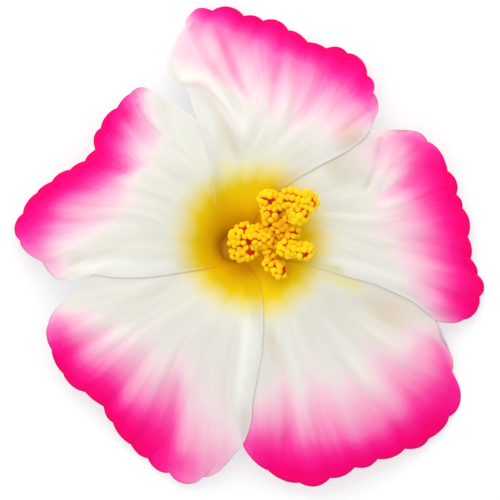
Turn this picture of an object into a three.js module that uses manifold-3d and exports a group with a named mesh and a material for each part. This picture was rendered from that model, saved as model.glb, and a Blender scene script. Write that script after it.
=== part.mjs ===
// Hibiscus flower, picked just below the calyx and lying face up on a table.
// Millimetres, +Z up. The flower is first built around its own axis, with the foot of the
// stalk on the axis at z = 0, and the whole group is then moved so that the origin is the
// centre of the footprint on the table.
//
// Five overlapping petals spring from a narrow throat, rise to a rounded crest and droop to a
// scalloped rim that meets the table. Under them sit the five-lobed calyx, its ring of narrow
// bracts and the stub of the stalk. The staminal column rises from the throat and leans to
// +X +Y, with five knobbly heads of anthers on it.

import * as THREE from 'three';
import { mergeVertices } from 'three/addons/utils/BufferGeometryUtils.js';
import Module from 'manifold-3d';

const wasm = await Module();
wasm.setup();

// ---------------------------------------------------------------- driving dimensions

const SEAT_GAP = 0.3;            // clearance kept between pieces that touch

const THROAT_RADIUS = 3.6;       // where the petal claws stand on the receptacle
const THROAT_HEIGHT = 4.6;       // height of the claws' feet
const CREST_RISE = 10.5;         // how far the petals would rise above the throat
const FUNNEL_WIDTH = 6.2;        // radial distance over which the funnel opens
const DROOP_START = 16.0;        // radius where the petals begin to droop
const DROOP_REACH = 56.0;        // radius of the longest petal tips
const DROOP_DEPTH = 12.8;        // drop of the surface at that radius
const DROOP_POWER = 1.5;
const ARCH_HEIGHT = 0.8;         // each petal is crowned along its middle
const ARCH_START = 18.0;
const ARCH_FULL = 34.0;
const PETAL_COUNT = 5;
const FIRST_PETAL_ANGLE = 76;    // direction of the top petal, degrees

const PETAL_THICKNESS = 0.9;
const LAYER_OFFSET = 0.85;       // upper and lower layer of an overlap lie this far off the middle
const LAYER_TURN = [0.3, 0.8];   // half width of the change between layers, at claw and rim
const LAYER_TURN_SPREAD = [0.05, 0.6];
const TIP_CURL_START = 22.0;     // radius where a petal's own tip curl begins
const TIP_CURL_MARGIN = [0.45, 0.95]; // the curl dies out towards the side margins
const SCALLOP_SHARE = 0.86;      // the scallops grow over the length past this share

const CALYX_THICKNESS = 0.8;
const CALYX_CUP_SHARE = 0.56;    // share of the calyx profile that is closed cup, the rest is lobes
const CALYX_CLEFT = 0.04;        // rim of the cup left above it in the clefts between the lobes
const CALYX_LOBE_SHARPNESS = 1.4;
const CALYX_FIRST_LOBE = 40;     // the sepals stand between the petals
const CALYX_GAP = 0.45;          // between the calyx wall and the lowest petal
const CALYX_FLOOR_HEIGHT = 2.9;
const CALYX_FLOOR_RADIUS = 3.8;
const CALYX_WALL_RADII = [3.6, 4.6, 6.0, 8.0, 10.5, 13.0, 16.0];

const BRACT_COUNT = 7;
const BRACT_THICKNESS = 0.5;
const BRACT_GAP = 0.45;          // between a bract and the calyx it lies against
const BRACT_HALF_WIDTH = 0.95;
const BRACT_TIP_WIDTH = 0.15;    // share of that width left at the tip
const BRACT_START_SHARE = 0.14;  // share of the calyx profile where a bract begins and ends
const BRACT_END_SHARE = 0.66;
const BRACT_FIRST_ANGLE = 10;

const STALK_RADIUS = 1.5;
const STALK_SIDES = 24;

const COLUMN_RADIUS = 1.35;
const COLUMN_TIP_RADIUS = 0.95;
const BRANCH_RADIUS = 0.7;
const COLUMN_PATH = [[0, 0, 3.7], [0.05, 0, 5.0], [0.5, 0.3, 8.0], [2.4, 1.3, 11.8], [6.2, 2.9, 14.8]];
const COLUMN_TIP_PATH = [[5.4, 2.6, 14.2], [8.2, 3.8, 16.4], [11.2, 5.6, 18.4], [13.8, 8.6, 20.2]];
const BRANCHES = {
  anther_head_upper_left: [[6.8, 3.2, 15.4], [7.7, 8.6, 17.6]],
  anther_head_right: [[9.6, 4.6, 17.4], [12.4, 1.8, 17.6], [14.0, -0.6, 17.8]],
  anther_head_lower: [[5.8, 2.6, 14.6], [7.2, -1.0, 14.4], [8.8, -4.6, 14.8]],
};

// Each head of anthers is a lump of rounded knobs: x, y, z and radius.
const ANTHER_HEADS = {
  anther_head_left: [[0.9, 1.6, 13.2, 3.2], [5.0, 2.2, 13.6, 3.3], [2.4, -0.9, 12.8, 2.9]],
  anther_head_upper_left: [[7.5, 10.6, 17.7, 2.8], [7.9, 7.8, 17.6, 2.6]],
  anther_head_upper_right: [[12.6, 10.8, 21.2, 3.0], [16.1, 10.2, 21.0, 3.0], [14.2, 7.7, 21.0, 3.0]],
  anther_head_right: [[11.4, -0.6, 17.8, 2.5], [15.6, -0.9, 18.2, 2.6], [12.9, 3.2, 17.2, 2.2]],
  anther_head_lower: [[7.5, -3.9, 14.8, 2.0], [9.9, -5.3, 15.2, 2.3]],
};
const KNOB_DETAIL = 2;
const COLUMN_MESH = { steps: 9, sides: 12 };
const BRANCH_MESH = { steps: 4, sides: 8 };

// Every petal: the arc of its claw on the throat (degrees, clockwise edge first), the layer of
// its two margins in the overlaps (1 over the neighbour, -1 under it), the drop of its own tip,
// the two side margins from the claw outwards, the notches of the rim from the clockwise to the
// counter-clockwise corner, and the height of the scallop between each two notches.
const PETALS = [
  {
    name: 'petal_top',
    claw: [40, 126],
    layers: [1, 1],
    tipDrop: 4.5,
    clockwise: [[5.2, 7.6], [11.7, 13.9], [19.0, 18.4], [25.2, 21.7], [29.6, 25.3]],
    counter: [
      [-4.6, 6.2], [-5.2, 11.0], [-5.8, 17.0], [-6.5, 22.4], [-8.2, 27.2], [-10.0, 32.4],
      [-11.2, 35.8], [-14.0, 37.6], [-15.8, 41.0], [-14.7, 45.4], [-13.4, 48.2], [-11.9, 50.1],
      [-11.5, 52.2],
    ],
    notches: [
      [31.3, 29.4], [31.4, 35.3], [30.1, 39.4], [25.7, 44.7], [20.6, 45.7], [16.4, 47.2],
      [12.0, 49.9], [6.2, 52.1], [1.7, 53.1], [-5.5, 54.4], [-9.6, 54.4],
    ],
    scallops: [1.1, 0.6, 0.9, 0.55, 0.3, 0.45, 1.05, 0.45, 1.3, 0.45],
  },
  {
    name: 'petal_right',
    claw: [-36, 50],
    layers: [1, -1],
    tipDrop: 2.0,
    clockwise: [
      [7.0, -3.0], [12.0, -3.8], [17.9, -4.6], [25.2, -6.8], [31.1, -8.3], [36.2, -10.5],
      [39.9, -12.3], [43.3, -14.8],
    ],
    counter: [[3.6, 7.4], [8.6, 14.2], [15.8, 20.4], [23.4, 24.6], [29.2, 26.2], [34.0, 26.8]],
    notches: [
      [45.9, -17.0], [52.3, -16.8], [56.0, -11.5], [55.7, -6.6], [54.0, -2.8], [53.3, 2.3],
      [52.2, 8.9], [50.7, 12.1], [48.7, 17.5], [44.1, 24.2], [38.3, 26.0],
    ],
    scallops: [0.3, 0.75, 0.85, 0.4, 0.5, 0.9, 0.3, 0.75, 0.6, 0.95],
  },
  {
    name: 'petal_lower_right',
    claw: [262, 330],
    layers: [-1, -1],
    tipDrop: -3.4,
    clockwise: [
      [1.0, -7.6], [2.8, -13.0], [3.0, -20.0], [2.2, -28.0], [1.0, -35.0], [0.7, -41.0],
    ],
    counter: [
      [6.6, -0.8], [12.0, -0.8], [18.0, -1.6], [25.0, -3.6], [32.0, -5.6], [38.0, -8.4],
      [43.0, -12.4], [45.9, -17.0],
    ],
    notches: [
      [1.6, -45.9], [7.2, -51.5], [14.6, -54.4], [21.6, -53.3], [27.3, -50.8], [32.6, -48.9],
      [38.8, -46.6], [44.4, -44.3], [49.0, -39.2], [49.5, -29.7], [48.9, -24.4], [46.8, -20.9],
    ],
    scallops: [0.4, 0.3, 0.9, 0.5, 0.85, 0.65, 0.75, 0.2, 2.2, 0.6, 0.1],
  },
  {
    name: 'petal_lower_left',
    claw: [190, 278],
    layers: [-1, 1],
    tipDrop: 2.6,
    clockwise: [
      [-7.4, -2.2], [-13.0, -3.4], [-20.0, -3.9], [-26.0, -3.9], [-30.4, -4.6], [-35.2, -8.2],
    ],
    counter: [
      [2.8, -5.0], [5.3, -7.8], [6.1, -12.0], [6.2, -17.0], [6.0, -23.0], [5.1, -28.8],
      [3.8, -35.4], [3.4, -40.0], [1.6, -45.0],
    ],
    notches: [
      [-39.6, -12.7], [-43.2, -17.6], [-42.5, -23.6], [-39.9, -29.2], [-34.8, -33.5],
      [-30.6, -36.8], [-28.4, -40.6], [-24.3, -45.6], [-20.4, -48.8], [-15.4, -52.1],
      [-7.8, -52.9], [-1.8, -48.1],
    ],
    scallops: [0.2, 0.3, 0.2, 0.6, 0.2, 0.5, 0.45, 0.45, 0.7, 1.6, 0.95],
  },
  {
    name: 'petal_left',
    claw: [108, 214],
    layers: [-1, 1],
    tipDrop: 4.8,
    clockwise: [
      [-2.2, 7.6], [-2.7, 13.0], [-3.4, 19.4], [-5.6, 25.4], [-9.6, 29.2], [-15.4, 33.6],
    ],
    counter: [
      [-4.0, -4.4], [-7.4, -5.2], [-12.2, -5.9], [-17.5, -6.7], [-22.8, -7.1], [-28.1, -7.0],
      [-33.2, -6.4], [-37.0, -7.7],
    ],
    notches: [
      [-20.6, 36.3], [-24.3, 35.2], [-27.4, 31.8], [-31.1, 27.3], [-32.4, 22.3], [-34.8, 19.7],
      [-38.2, 17.7], [-42.4, 15.0], [-46.0, 12.4], [-49.2, 7.6], [-49.7, 1.4], [-44.5, -3.5],
      [-40.5, -7.6],
    ],
    scallops: [0.45, 0.15, 0.6, 0.85, 0.4, 0.3, 0.5, 0.15, 0.3, 1.05, 0.5, 0.6],
  },
];

// Rows of each petal's mesh from claw to rim: place along the length, number of columns.
const PETAL_ROWS = [
  [0, 10], [0.035, 10], [0.07, 10], [0.11, 12], [0.16, 12], [0.23, 14], [0.33, 16],
  [0.45, 18], [0.58, 20], [0.7, 22], [0.82, 24], [0.92, 26],
];
const STEPS_PER_SCALLOP = 3;
const BRACT_ROWS = 7;
const BRACT_COLUMNS = 3;
const CALYX_CUP_ROWS = [0.14, 0.2, 0.25, 0.3, 0.36, 0.46, CALYX_CUP_SHARE];
const CALYX_LOBE_ROWS = 3;
const CALYX_COLUMNS = 40;

// ---------------------------------------------------------------- materials

const finishes = {
  petal: { color: 0xfbe3ec, roughness: 0.7, metalness: 0 },
  anther: { color: 0xffcf14, roughness: 0.55, metalness: 0 },
  column: { color: 0xd8571a, roughness: 0.6, metalness: 0 },
  calyx: { color: 0x6f9a45, roughness: 0.75, metalness: 0 },
  bract: { color: 0x5f8c3c, roughness: 0.75, metalness: 0 },
  stalk: { color: 0x7c9c4c, roughness: 0.8, metalness: 0 },
};

// ---------------------------------------------------------------- helpers

function radians(degrees) {
  return THREE.MathUtils.degToRad(degrees);
}

function smooth(value, low, high) {
  return THREE.MathUtils.smoothstep(value, low, high);
}

function vector2(pair) {
  return new THREE.Vector2(pair[0], pair[1]);
}

function vector3(triple) {
  return new THREE.Vector3(triple[0], triple[1], triple[2]);
}

/** A named mesh with the finish of its kind. */
function piece(name, geometry, finish) {
  const bare = geometry.index ? geometry.toNonIndexed() : geometry;
  bare.computeVertexNormals();
  const mesh = new THREE.Mesh(bare, new THREE.MeshStandardMaterial(finishes[finish]));
  mesh.name = name;
  return mesh;
}

/** A BufferGeometry from a list of Vector3 and a flat list of triangle corners. */
function meshOf(points, corners) {
  const geometry = new THREE.BufferGeometry();
  geometry.setFromPoints(points);
  geometry.setIndex(corners);
  return geometry;
}

/** The closed solid of a geometry, for joining and cutting. */
function solidOf(geometry) {
  const bare = geometry.clone();
  bare.deleteAttribute('normal');
  bare.deleteAttribute('uv');
  const merged = mergeVertices(bare, 1e-4);
  const vertProperties = new Float32Array(merged.attributes.position.array);
  const triVerts = new Uint32Array(merged.index.array);
  return new wasm.Manifold(new wasm.Mesh({ numProp: 3, vertProperties, triVerts }));
}

/** The geometry of a joined or cut solid. */
function geometryOf(solid) {
  const mesh = solid.getMesh();
  const geometry = new THREE.BufferGeometry();
  geometry.setAttribute('position', new THREE.BufferAttribute(mesh.vertProperties, 3));
  geometry.setIndex(new THREE.BufferAttribute(mesh.triVerts, 1));
  return geometry;
}

/** Triangles between two rows of vertices that run the same way at unequal spacing. */
function stitch(corners, inner, outer, facingUp) {
  let i = 0;
  let j = 0;
  while (i < inner.length - 1 || j < outer.length - 1) {
    const innerNext = i < inner.length - 1 ? inner[i + 1].place : Infinity;
    const outerNext = j < outer.length - 1 ? outer[j + 1].place : Infinity;
    const start = inner[i].index;
    const across = outer[j].index;
    let next;
    if (innerNext <= outerNext) {
      i += 1;
      next = inner[i].index;
    } else {
      j += 1;
      next = outer[j].index;
    }
    corners.push(...(facingUp ? [start, across, next] : [start, next, across]));
  }
}

/**
 * A closed sheet with an upper and a lower face. `rows` lists, for every row from the foot to
 * the tip, its place along the length and the places of its columns from -1 to 1;
 * `point(across, along, side)` gives the vertex, with side 1 above and -1 below.
 */
function sheet(rows, point) {
  const points = [];
  const corners = [];
  const faces = [1, -1].map((side) => rows.map(([along, columns]) => columns.map((across) => {
    points.push(point(across, along, side));
    return { index: points.length - 1, place: across };
  })));
  const [upper, lower] = faces;
  for (let row = 0; row < rows.length - 1; row += 1) {
    stitch(corners, upper[row], upper[row + 1], true);
    stitch(corners, lower[row], lower[row + 1], false);
  }
  const wall = (top, bottom, outward) => {
    for (let i = 0; i < top.length - 1; i += 1) {
      const [a, b, c, d] = [top[i].index, top[i + 1].index, bottom[i].index, bottom[i + 1].index];
      corners.push(...(outward ? [a, c, b, b, c, d] : [a, b, c, b, d, c]));
    }
  };
  wall(upper.at(-1), lower.at(-1), true);
  wall(upper[0], lower[0], false);
  wall(upper.map((row) => row[0]), lower.map((row) => row[0]), true);
  wall(upper.map((row) => row.at(-1)), lower.map((row) => row.at(-1)), false);
  return meshOf(points, corners);
}

function evenColumns(count) {
  return Array.from({ length: count + 1 }, (_, i) => -1 + (2 * i) / count);
}

// ---------------------------------------------------------------- the petals' common surface

/** Height of the surface that all petals follow, at a place in plan. */
function surfaceHeight(x, y) {
  const radius = Math.hypot(x, y);
  const angle = Math.atan2(y, x);
  const funnel = CREST_RISE * (1 - Math.exp(-(radius - THROAT_RADIUS) / FUNNEL_WIDTH));
  const past = Math.max(0, radius - DROOP_START) / (DROOP_REACH - DROOP_START);
  const droop = DROOP_DEPTH * past ** DROOP_POWER;
  const crown = Math.cos(PETAL_COUNT * (angle - radians(FIRST_PETAL_ANGLE)));
  const arch = ARCH_HEIGHT * crown * smooth(radius, ARCH_START, ARCH_FULL);
  return THROAT_HEIGHT + funnel - droop + arch;
}

/** Unit normal of that surface, pointing up and into the funnel. */
function surfaceNormal(x, y) {
  const step = 0.01;
  const slopeX = (surfaceHeight(x + step, y) - surfaceHeight(x - step, y)) / (2 * step);
  const slopeY = (surfaceHeight(x, y + step) - surfaceHeight(x, y - step)) / (2 * step);
  return new THREE.Vector3(-slopeX, -slopeY, 1).normalize();
}

// ---------------------------------------------------------------- petals

/** The outline curves of a petal, worked out once. */
function petalCurves(petal) {
  const clawPoint = (degrees) => new THREE.Vector2(
    THROAT_RADIUS * Math.cos(radians(degrees)),
    THROAT_RADIUS * Math.sin(radians(degrees)),
  );
  const notches = petal.notches.map(vector2);
  const margin = (degrees, list, corner) => {
    const curve = new THREE.SplineCurve([clawPoint(degrees), ...list.map(vector2), corner]);
    curve.arcLengthDivisions = 400;
    return curve;
  };
  return {
    clawPoint,
    rim: new THREE.SplineCurve(notches),
    clockwise: margin(petal.claw[0], petal.clockwise, notches[0]),
    counter: margin(petal.claw[1], petal.counter, notches.at(-1)),
  };
}

/** How far the scalloped rim stands out past the line through its notches. */
function scallopReach(petal, share) {
  const place = share * petal.scallops.length;
  const which = Math.min(Math.floor(place), petal.scallops.length - 1);
  const within = 2 * (place - which) - 1;
  return petal.scallops[which] * (1 - within * within);
}

/** Place in plan: a patch spanned by the claw, the two margins and the rim. */
function petalPlan(petal, curves, across, along) {
  const share = (across + 1) / 2;
  const [cwAngle, ccwAngle] = petal.claw;
  const claw = curves.clawPoint(cwAngle + share * (ccwAngle - cwAngle));
  const rim = curves.rim.getPoint(share);
  const clockwise = curves.clockwise.getPointAt(along);
  const counter = curves.counter.getPointAt(along);
  const plan = claw.multiplyScalar(1 - along).add(rim.multiplyScalar(along));
  plan.addScaledVector(clockwise, 1 - share).addScaledVector(counter, share);
  plan.addScaledVector(curves.clawPoint(cwAngle), -(1 - along) * (1 - share));
  plan.addScaledVector(curves.clawPoint(ccwAngle), -(1 - along) * share);
  plan.addScaledVector(curves.rim.getPoint(0), -along * (1 - share));
  plan.addScaledVector(curves.rim.getPoint(1), -along * share);
  const tangent = curves.rim.getTangent(share);
  const outward = new THREE.Vector2(tangent.y, -tangent.x);
  const reach = scallopReach(petal, share) * smooth(along, SCALLOP_SHARE, 1);
  return plan.addScaledVector(outward, reach);
}

/** Offset of a petal from the common surface, so that it passes over or under its neighbours. */
function layerOffset(petal, across, along) {
  const turn = THREE.MathUtils.lerp(...LAYER_TURN, smooth(along, ...LAYER_TURN_SPREAD));
  const share = smooth(across, -turn, turn);
  return LAYER_OFFSET * THREE.MathUtils.lerp(petal.layers[0], petal.layers[1], share);
}

function petalPiece(petal) {
  const curves = petalCurves(petal);
  const point = (across, along, side) => {
    const plan = petalPlan(petal, curves, across, along);
    const height = surfaceHeight(plan.x, plan.y);
    const normal = surfaceNormal(plan.x, plan.y);
    const offset = layerOffset(petal, across, along) + (side * PETAL_THICKNESS) / 2;
    const tip = smooth(plan.length(), TIP_CURL_START, DROOP_REACH);
    const open = 1 - smooth(Math.abs(across), ...TIP_CURL_MARGIN);
    const vertex = new THREE.Vector3(plan.x, plan.y, height - petal.tipDrop * tip * open);
    return vertex.addScaledVector(normal, offset);
  };
  const rimColumns = evenColumns(petal.scallops.length * STEPS_PER_SCALLOP);
  const rows = PETAL_ROWS.map(([along, count]) => [along, evenColumns(count)]);
  rows.push([1, rimColumns]);
  return piece(petal.name, sheet(rows, point), 'petal');
}

// ---------------------------------------------------------------- calyx, bracts and stalk

/** The middle of the calyx wall: a flat floor, then a wall that follows the petals' underside. */
function calyxWall() {
  const depth = LAYER_OFFSET + PETAL_THICKNESS / 2 + CALYX_GAP + CALYX_THICKNESS / 2;
  const wall = CALYX_WALL_RADII.map((radius) => {
    const normal = surfaceNormal(radius, 0);
    return [radius - depth * normal.x, surfaceHeight(radius, 0) - depth * normal.z];
  });
  const floor = [[0, CALYX_FLOOR_HEIGHT], [CALYX_FLOOR_RADIUS, CALYX_FLOOR_HEIGHT]];
  return new THREE.SplineCurve([...floor, ...wall].map(vector2));
}

const calyxProfile = calyxWall();

/** A point off the calyx wall: direction, share of its profile, distance towards the petals. */
function calyxPoint(angle, share, offset) {
  const place = calyxProfile.getPointAt(share);
  const tangent = calyxProfile.getTangentAt(share);
  const radius = place.x - tangent.y * offset;
  const height = place.y + tangent.x * offset;
  return new THREE.Vector3(radius * Math.cos(angle), radius * Math.sin(angle), height);
}

/** How far out along its profile the calyx reaches, from the clefts to the tips of the sepals. */
function calyxReach(angle) {
  const turn = (PETAL_COUNT * (angle - radians(CALYX_FIRST_LOBE))) / 2;
  const lobe = 1 - Math.abs(Math.sin(turn)) ** CALYX_LOBE_SHARPNESS;
  return THREE.MathUtils.lerp(CALYX_CUP_SHARE + CALYX_CLEFT, 1, lobe);
}

/** Where the rows of the calyx lie along its profile, in one direction. */
function calyxRows(angle) {
  const rows = [...CALYX_CUP_ROWS];
  for (let row = 1; row <= CALYX_LOBE_ROWS; row += 1) {
    rows.push(THREE.MathUtils.lerp(CALYX_CUP_SHARE, calyxReach(angle), row / CALYX_LOBE_ROWS));
  }
  return rows;
}

function calyxPiece() {
  const points = [];
  const corners = [];
  const angles = Array.from({ length: CALYX_COLUMNS }, (_, i) => (i / CALYX_COLUMNS) * 2 * Math.PI);
  const rowCount = CALYX_CUP_ROWS.length + CALYX_LOBE_ROWS;
  const rings = [1, -1].map((side) => {
    const offset = (side * CALYX_THICKNESS) / 2;
    const centre = points.push(calyxPoint(0, 0, offset).setX(0).setY(0)) - 1;
    const rows = Array.from({ length: rowCount }, (_, row) => angles.map((angle) => (
      points.push(calyxPoint(angle, calyxRows(angle)[row], offset)) - 1
    )));
    return { centre, rows };
  });
  const triangle = (flip, a, b, c) => corners.push(...(flip ? [a, c, b] : [a, b, c]));
  for (let column = 0; column < CALYX_COLUMNS; column += 1) {
    const next = (column + 1) % CALYX_COLUMNS;
    rings.forEach(({ centre, rows }, lower) => {
      triangle(lower, centre, rows[0][column], rows[0][next]);
      for (let row = 0; row < rowCount - 1; row += 1) {
        triangle(lower, rows[row][column], rows[row + 1][column], rows[row + 1][next]);
        triangle(lower, rows[row][column], rows[row + 1][next], rows[row][next]);
      }
    });
    const top = rings[0].rows.at(-1);
    const bottom = rings[1].rows.at(-1);
    triangle(false, top[column], bottom[column], bottom[next]);
    triangle(false, top[column], bottom[next], top[next]);
  }
  return piece('calyx', meshOf(points, corners), 'calyx');
}

function bractPiece(number) {
  const direction = radians(BRACT_FIRST_ANGLE + (number * 360) / BRACT_COUNT);
  const middle = -(CALYX_THICKNESS / 2 + BRACT_GAP + BRACT_THICKNESS / 2);
  const point = (across, along, side) => {
    const share = THREE.MathUtils.lerp(BRACT_START_SHARE, BRACT_END_SHARE, along);
    const offset = middle + (side * BRACT_THICKNESS) / 2;
    const radius = calyxPoint(direction, share, offset).setZ(0).length();
    const belly = Math.sin(Math.PI * THREE.MathUtils.lerp(0.2, 1, along));
    const halfWidth = BRACT_HALF_WIDTH * THREE.MathUtils.lerp(BRACT_TIP_WIDTH, 1, belly);
    return calyxPoint(direction + (across * halfWidth) / radius, share, offset);
  };
  const rows = Array.from({ length: BRACT_ROWS + 1 }, (_, row) => [
    row / BRACT_ROWS,
    evenColumns(BRACT_COLUMNS),
  ]);
  return piece(`bract_${number + 1}`, sheet(rows, point), 'bract');
}

function stalkPiece() {
  const height = CALYX_FLOOR_HEIGHT - CALYX_THICKNESS / 2 - SEAT_GAP;
  const cylinder = new THREE.CylinderGeometry(STALK_RADIUS, STALK_RADIUS, height, STALK_SIDES);
  cylinder.rotateX(Math.PI / 2);
  cylinder.translate(0, 0, height / 2);
  return piece('stalk', geometryOf(solidOf(cylinder)), 'stalk');
}

// ---------------------------------------------------------------- column and anthers

/** A round rod along a smooth path, with flat ends. */
function rod(path, radius, { steps, sides }) {
  const section = new THREE.Shape().absarc(0, 0, radius, 0, 2 * Math.PI, false);
  const extrudePath = new THREE.CatmullRomCurve3(path.map(vector3));
  const curveSegments = sides / 2;
  return solidOf(new THREE.ExtrudeGeometry(section, { steps, curveSegments, extrudePath }));
}

/** The column with its branches; `grow` widens and lengthens it, to cut clearance around it. */
function columnSolid(grow) {
  const longer = (path) => {
    const end = vector3(path.at(-1));
    const before = vector3(path.at(-2));
    const ahead = end.clone().sub(before).setLength(grow).add(end);
    return [...path.slice(0, -1), ahead.toArray()];
  };
  let column = rod(longer(COLUMN_PATH), COLUMN_RADIUS + grow, COLUMN_MESH);
  column = column.add(rod(longer(COLUMN_TIP_PATH), COLUMN_TIP_RADIUS + grow, COLUMN_MESH));
  Object.values(BRANCHES).forEach((path) => {
    column = column.add(rod(longer(path), BRANCH_RADIUS + grow, BRANCH_MESH));
  });
  return column;
}

/** A head of anthers, hollowed where the column or its branch runs into it. */
function antherHead(name, clearance) {
  const knobs = ANTHER_HEADS[name].map(([x, y, z, radius]) => {
    const knob = new THREE.IcosahedronGeometry(radius, KNOB_DETAIL);
    knob.translate(x, y, z);
    return solidOf(knob);
  });
  const lump = knobs.reduce((joined, knob) => joined.add(knob));
  return piece(name, geometryOf(lump.subtract(clearance)), 'anther');
}

// ---------------------------------------------------------------- the whole flower

const flower = new THREE.Group();
PETALS.forEach((petal) => flower.add(petalPiece(petal)));
flower.add(piece('staminal_column', geometryOf(columnSolid(0)), 'column'));
const clearance = columnSolid(SEAT_GAP);
Object.keys(ANTHER_HEADS).forEach((name) => flower.add(antherHead(name, clearance)));
flower.add(calyxPiece());
for (let number = 0; number < BRACT_COUNT; number += 1) {
  flower.add(bractPiece(number));
}
flower.add(stalkPiece());

// The origin is the centre of the footprint, on the table.
const box = new THREE.Box3().setFromObject(flower);
const centre = box.getCenter(new THREE.Vector3());
flower.position.set(-centre.x, -centre.y, -box.min.z);

const hibiscus = new THREE.Group();
hibiscus.add(flower);

export default hibiscus;
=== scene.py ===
"""A hibiscus flower, picked just below its calyx and lying face up on a table.

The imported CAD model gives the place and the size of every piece. Each piece is made again here at
full detail, in the place of its CAD node: five petals with their folds and pink rims, the column
with its heads of anthers, the calyx, its bracts and the stub of the stalk.

Tables of places are in millimetres from the flower's own axis, with z = 0 on the table. Meshes are
in metres, in the frame of the CAD model. Tints are written as six hex digits.
"""

import logging
import math
from collections.abc import Iterable, Sequence
from dataclasses import dataclass, field
from enum import Enum

import bpy
import numpy as np
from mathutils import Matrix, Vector


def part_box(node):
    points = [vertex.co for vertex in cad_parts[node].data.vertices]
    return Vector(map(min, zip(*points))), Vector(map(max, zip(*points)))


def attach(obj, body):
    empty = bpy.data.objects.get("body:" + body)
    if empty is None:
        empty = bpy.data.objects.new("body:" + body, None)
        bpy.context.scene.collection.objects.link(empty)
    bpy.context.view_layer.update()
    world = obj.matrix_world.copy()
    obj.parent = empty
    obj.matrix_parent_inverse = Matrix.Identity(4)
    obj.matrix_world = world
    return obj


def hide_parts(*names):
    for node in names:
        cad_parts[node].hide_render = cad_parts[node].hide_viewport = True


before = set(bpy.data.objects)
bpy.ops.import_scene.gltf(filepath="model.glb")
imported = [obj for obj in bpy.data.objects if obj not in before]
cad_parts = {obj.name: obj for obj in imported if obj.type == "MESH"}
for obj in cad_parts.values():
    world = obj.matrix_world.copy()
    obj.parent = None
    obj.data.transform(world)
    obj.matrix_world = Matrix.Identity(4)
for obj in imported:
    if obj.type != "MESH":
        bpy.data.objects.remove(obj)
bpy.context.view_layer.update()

log = logging.getLogger("hibiscus")

Array = np.ndarray
Point2 = tuple[float, float]
Point3 = tuple[float, float, float]
Faces = list[tuple[int, ...]]
Stops = tuple[tuple[float, str], ...]
Piece = bpy.types.Object
Material = bpy.types.Material
Socket = bpy.types.NodeSocket

MM = 0.001
TURN = 2.0 * math.pi
PETAL_COUNT = 5
BODY = "root"
GROWN = "grown_"


# ---- curves and steps


def smooth(value: Array, low: float, high: float) -> Array:
    """Returns a soft step, which is 0 up to the low value and 1 from the high value."""
    place = np.clip((value - low) / (high - low), 0.0, 1.0)
    return place * place * (3.0 - 2.0 * place)


def blend(first: Array, second: Array, share: Array) -> Array:
    """Returns the value that lies at a share of the way from the first to the second."""
    return first + (second - first) * share


def unit(vectors: Array) -> Array:
    """Returns the vectors at a length of 1."""
    return vectors / np.maximum(np.linalg.norm(vectors, axis=-1, keepdims=True), 1e-12)


def round_axis(radius: Array, angle: Array, height: Array) -> Array:
    """Returns the points at a radius, an angle and a height."""
    return np.stack([radius * np.cos(angle), radius * np.sin(angle), height], axis=-1)


class Spline:
    """A smooth curve through a few points, in the plane or in space."""

    def __init__(self, points: Sequence[Sequence[float]]) -> None:
        """Keeps the points that the curve runs through, and measures the curve.

        Args:
            points: The points, in order.
        """
        self.points = np.asarray(points, dtype=float)
        self._places = np.linspace(0.0, 1.0, 401)
        steps = np.diff(self.at(self._places), axis=0)
        self._lengths = np.concatenate([[0.0], np.cumsum(np.linalg.norm(steps, axis=1))])

    def at(self, place: Array) -> Array:
        """Gives points with the knots at even places.

        Args:
            place: Places from 0 to 1.

        Returns:
            The points, with one more axis than the places.
        """
        last = len(self.points) - 1
        knot = np.clip(np.asarray(place, dtype=float) * last, 0.0, last)
        start = np.minimum(knot.astype(int), last - 1)
        part = (knot - start)[..., None]
        here = self.points[start]
        there = self.points[start + 1]
        leave = (there - self.points[np.maximum(start - 1, 0)]) / 2.0
        arrive = (self.points[np.minimum(start + 2, last)] - here) / 2.0
        cubic = 2.0 * here - 2.0 * there + leave + arrive
        square = -3.0 * here + 3.0 * there - 2.0 * leave - arrive
        return ((cubic * part + square) * part + leave) * part + here

    def along(self, share: Array) -> Array:
        """Returns the points at shares of the curve's length."""
        wanted = np.asarray(share, dtype=float) * self._lengths[-1]
        return self.at(np.interp(wanted, self._lengths, self._places))

    def tangent(self, place: Array, even: bool = False) -> Array:
        """Gives the unit directions of the curve.

        Args:
            place: Places from 0 to 1.
            even: True if the places are shares of the curve's length.

        Returns:
            The directions, with one more axis than the places.
        """
        read, step = (self.along, 1e-3) if even else (self.at, 1e-4)
        return unit(read(np.minimum(place + step, 1.0)) - read(np.maximum(place - step, 0.0)))


# ---- meshes


@dataclass(frozen=True)
class Seat:
    """Where the flower's own axis stands in the frame of the CAD model."""

    x: float
    y: float

    @classmethod
    def under_stalk(cls) -> "Seat":
        """Returns the seat that the CAD stalk shows."""
        low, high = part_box("stalk")
        return cls((low.x + high.x) / 2.0, (low.y + high.y) / 2.0)

    def metres(self, points: Array) -> Array:
        """Returns points in metres in the frame, from points in millimetres off the axis."""
        return np.asarray(points, dtype=float) * MM + np.array([self.x, self.y, 0.0])


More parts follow.
